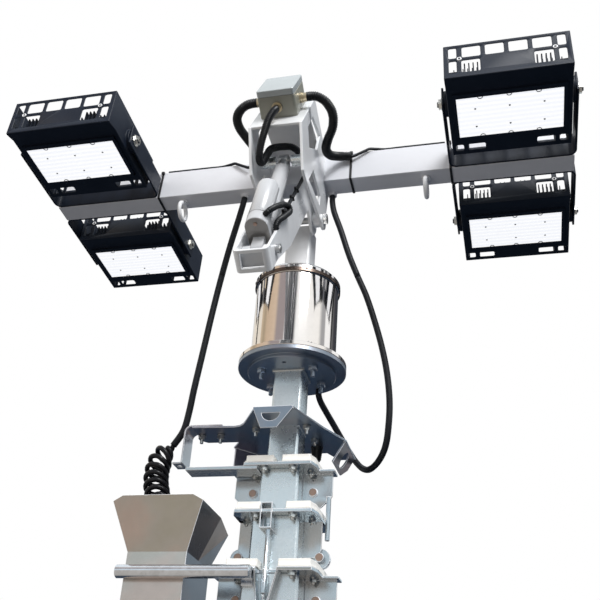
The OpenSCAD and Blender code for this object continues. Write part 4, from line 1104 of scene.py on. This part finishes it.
# %% Sky
BLACK, GREY, WHITE = (0.0, 0.0, 0.0), (0.5, 0.5, 0.5), (1.0, 1.0, 1.0)
DIM, DARK, GAP = (0.40, 0.40, 0.41), (0.05, 0.05, 0.06), (0.30, 0.30, 0.32)
WARM, MAUVE, OCHRE = (0.62, 0.47, 0.34), (0.36, 0.31, 0.31), (0.68, 0.53, 0.40)
PALE_BLUE, ZENITH = (0.70, 0.80, 0.86), (0.90, 0.96, 1.0)
COMPASS = [
    (-180, (0.66, 0.52, 0.38)), (-168, (0.42, 0.34, 0.24)), (-158, WARM), (-134, OCHRE),
    (-126, MAUVE), (-106, MAUVE), (-103, WHITE), (-101, DARK), (-93, GAP), (-90, DARK),
    (-80, DARK), (-74, WHITE), (-8, (1.0, 0.98, 0.95)), (2, DIM), (13, DIM), (16, WHITE),
    (36, WHITE), (40, (0.22, 0.22, 0.22)), (60, DARK), (98, (0.04, 0.05, 0.06)),
    (112, (0.7, 0.72, 0.75)), (146, (0.85, 0.78, 0.68)),
]


class Sky(Paint):
    """The world's colour, built with the same nodes as a material."""

    def __init__(self, name):
        world = bpy.data.worlds.new(name)
        bpy.context.scene.world = world
        world.use_nodes = True
        self.tree = world.node_tree
        self.shader = self.tree.nodes["Background"]
        self.place = self.node("ShaderNodeTexCoord", {}, {}, "Generated")


sky = Sky("studio")
x, y, z = (sky.node("ShaderNodeSeparateXYZ", {}, {0: sky.place}, axis) for axis in "XYZ")
bearing = y.apply("ARCTAN2", x) / (2 * math.pi) + 0.5
rise = z * 0.5 + 0.5
screens = sky.ramp(bearing, [((degrees + 180) / 360, colour) for degrees, colour in COMPASS])
high = sky.ramp(rise, [(0.0, BLACK), (0.69, BLACK), (0.72, WHITE), (1.0, WHITE)])
overhead = sky.ramp(rise, [(0.0, BLACK), (0.84, BLACK), (0.93, WHITE), (1.0, WHITE)])
slate = sky.ramp(rise, [(0.0, (0.03, 0.045, 0.07)), (0.488, (0.06, 0.085, 0.125)),
                        (0.505, (0.46, 0.37, 0.31)), (0.56, (0.60, 0.55, 0.50)),
                        (0.59, PALE_BLUE), (1.0, PALE_BLUE)])
yard = sky.ramp(rise, [(0.0, (0.48, 0.45, 0.41)), (0.52, (0.50, 0.46, 0.42)),
                       (0.59, PALE_BLUE), (1.0, PALE_BLUE)])
in_front = sky.ramp(bearing, [(0.0, GREY), (0.06, WHITE), (0.30, WHITE), (0.37, BLACK),
                              (0.92, BLACK), (1.0, GREY)])
around = sky.mix(high, sky.mix(in_front, slate, yard), screens)
around = sky.mix(overhead, around, ZENITH)
backdrop = sky.node("ShaderNodeLightPath", {}, {}, "Is Camera Ray")
sky.set(Color=sky.mix(backdrop, around, WHITE), Strength=1.0)

# %% [markdown]
# The floor is pale. Its own bounce would light every underside from below and flatten the
# plates, so only the camera sees it. The metal mirrors the lower half of the sky instead,
# which is a dark slate, like wet ground, and a lighter, warm yard in front.

# %% Floor
floor_mesh = bpy.data.meshes.new("floor")
work = bmesh.new()
bmesh.ops.create_grid(work, x_segments=1, y_segments=1, size=20)
work.to_mesh(floor_mesh)
work.free()
floor = bpy.data.objects.new("floor", floor_mesh)
bpy.context.scene.collection.objects.link(floor)
floor_paint = Paint("floor")
floor_paint.set(Base_Color=(0.90, 0.90, 0.90), Roughness=0.9,
                Emission_Color=WHITE, Emission_Strength=0.1)
floor_mesh.materials.append(floor_paint.material)
floor.visible_glossy = floor.visible_diffuse = False
floor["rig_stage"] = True


# %% Lights
def soft_light(name, place, target, size, power, tint=WHITE):
    data = bpy.data.lights.new(name, "AREA")
    data.size, data.energy, data.color = size, power, tint
    lamp = bpy.data.objects.new(name, data)
    bpy.context.scene.collection.objects.link(lamp)
    lamp.location = place
    lamp.rotation_euler = (Vector(target) - Vector(place)).to_track_quat("-Z", "Y").to_euler()
    return lamp


soft_light("key", (2.2, -3.2, 5.4), (0, 0, 1.9), size=1.8, power=240)
fill = soft_light("fill", (-3.4, -2.6, 4.2), (0, 0, 2.1), size=2.0, power=70,
                  tint=(1.0, 0.95, 0.9))
fill.visible_glossy = False
bpy.context.scene.view_settings.view_transform = "Standard"
bpy.context.scene.view_settings.look = "None"

# %% Size of the object
low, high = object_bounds()
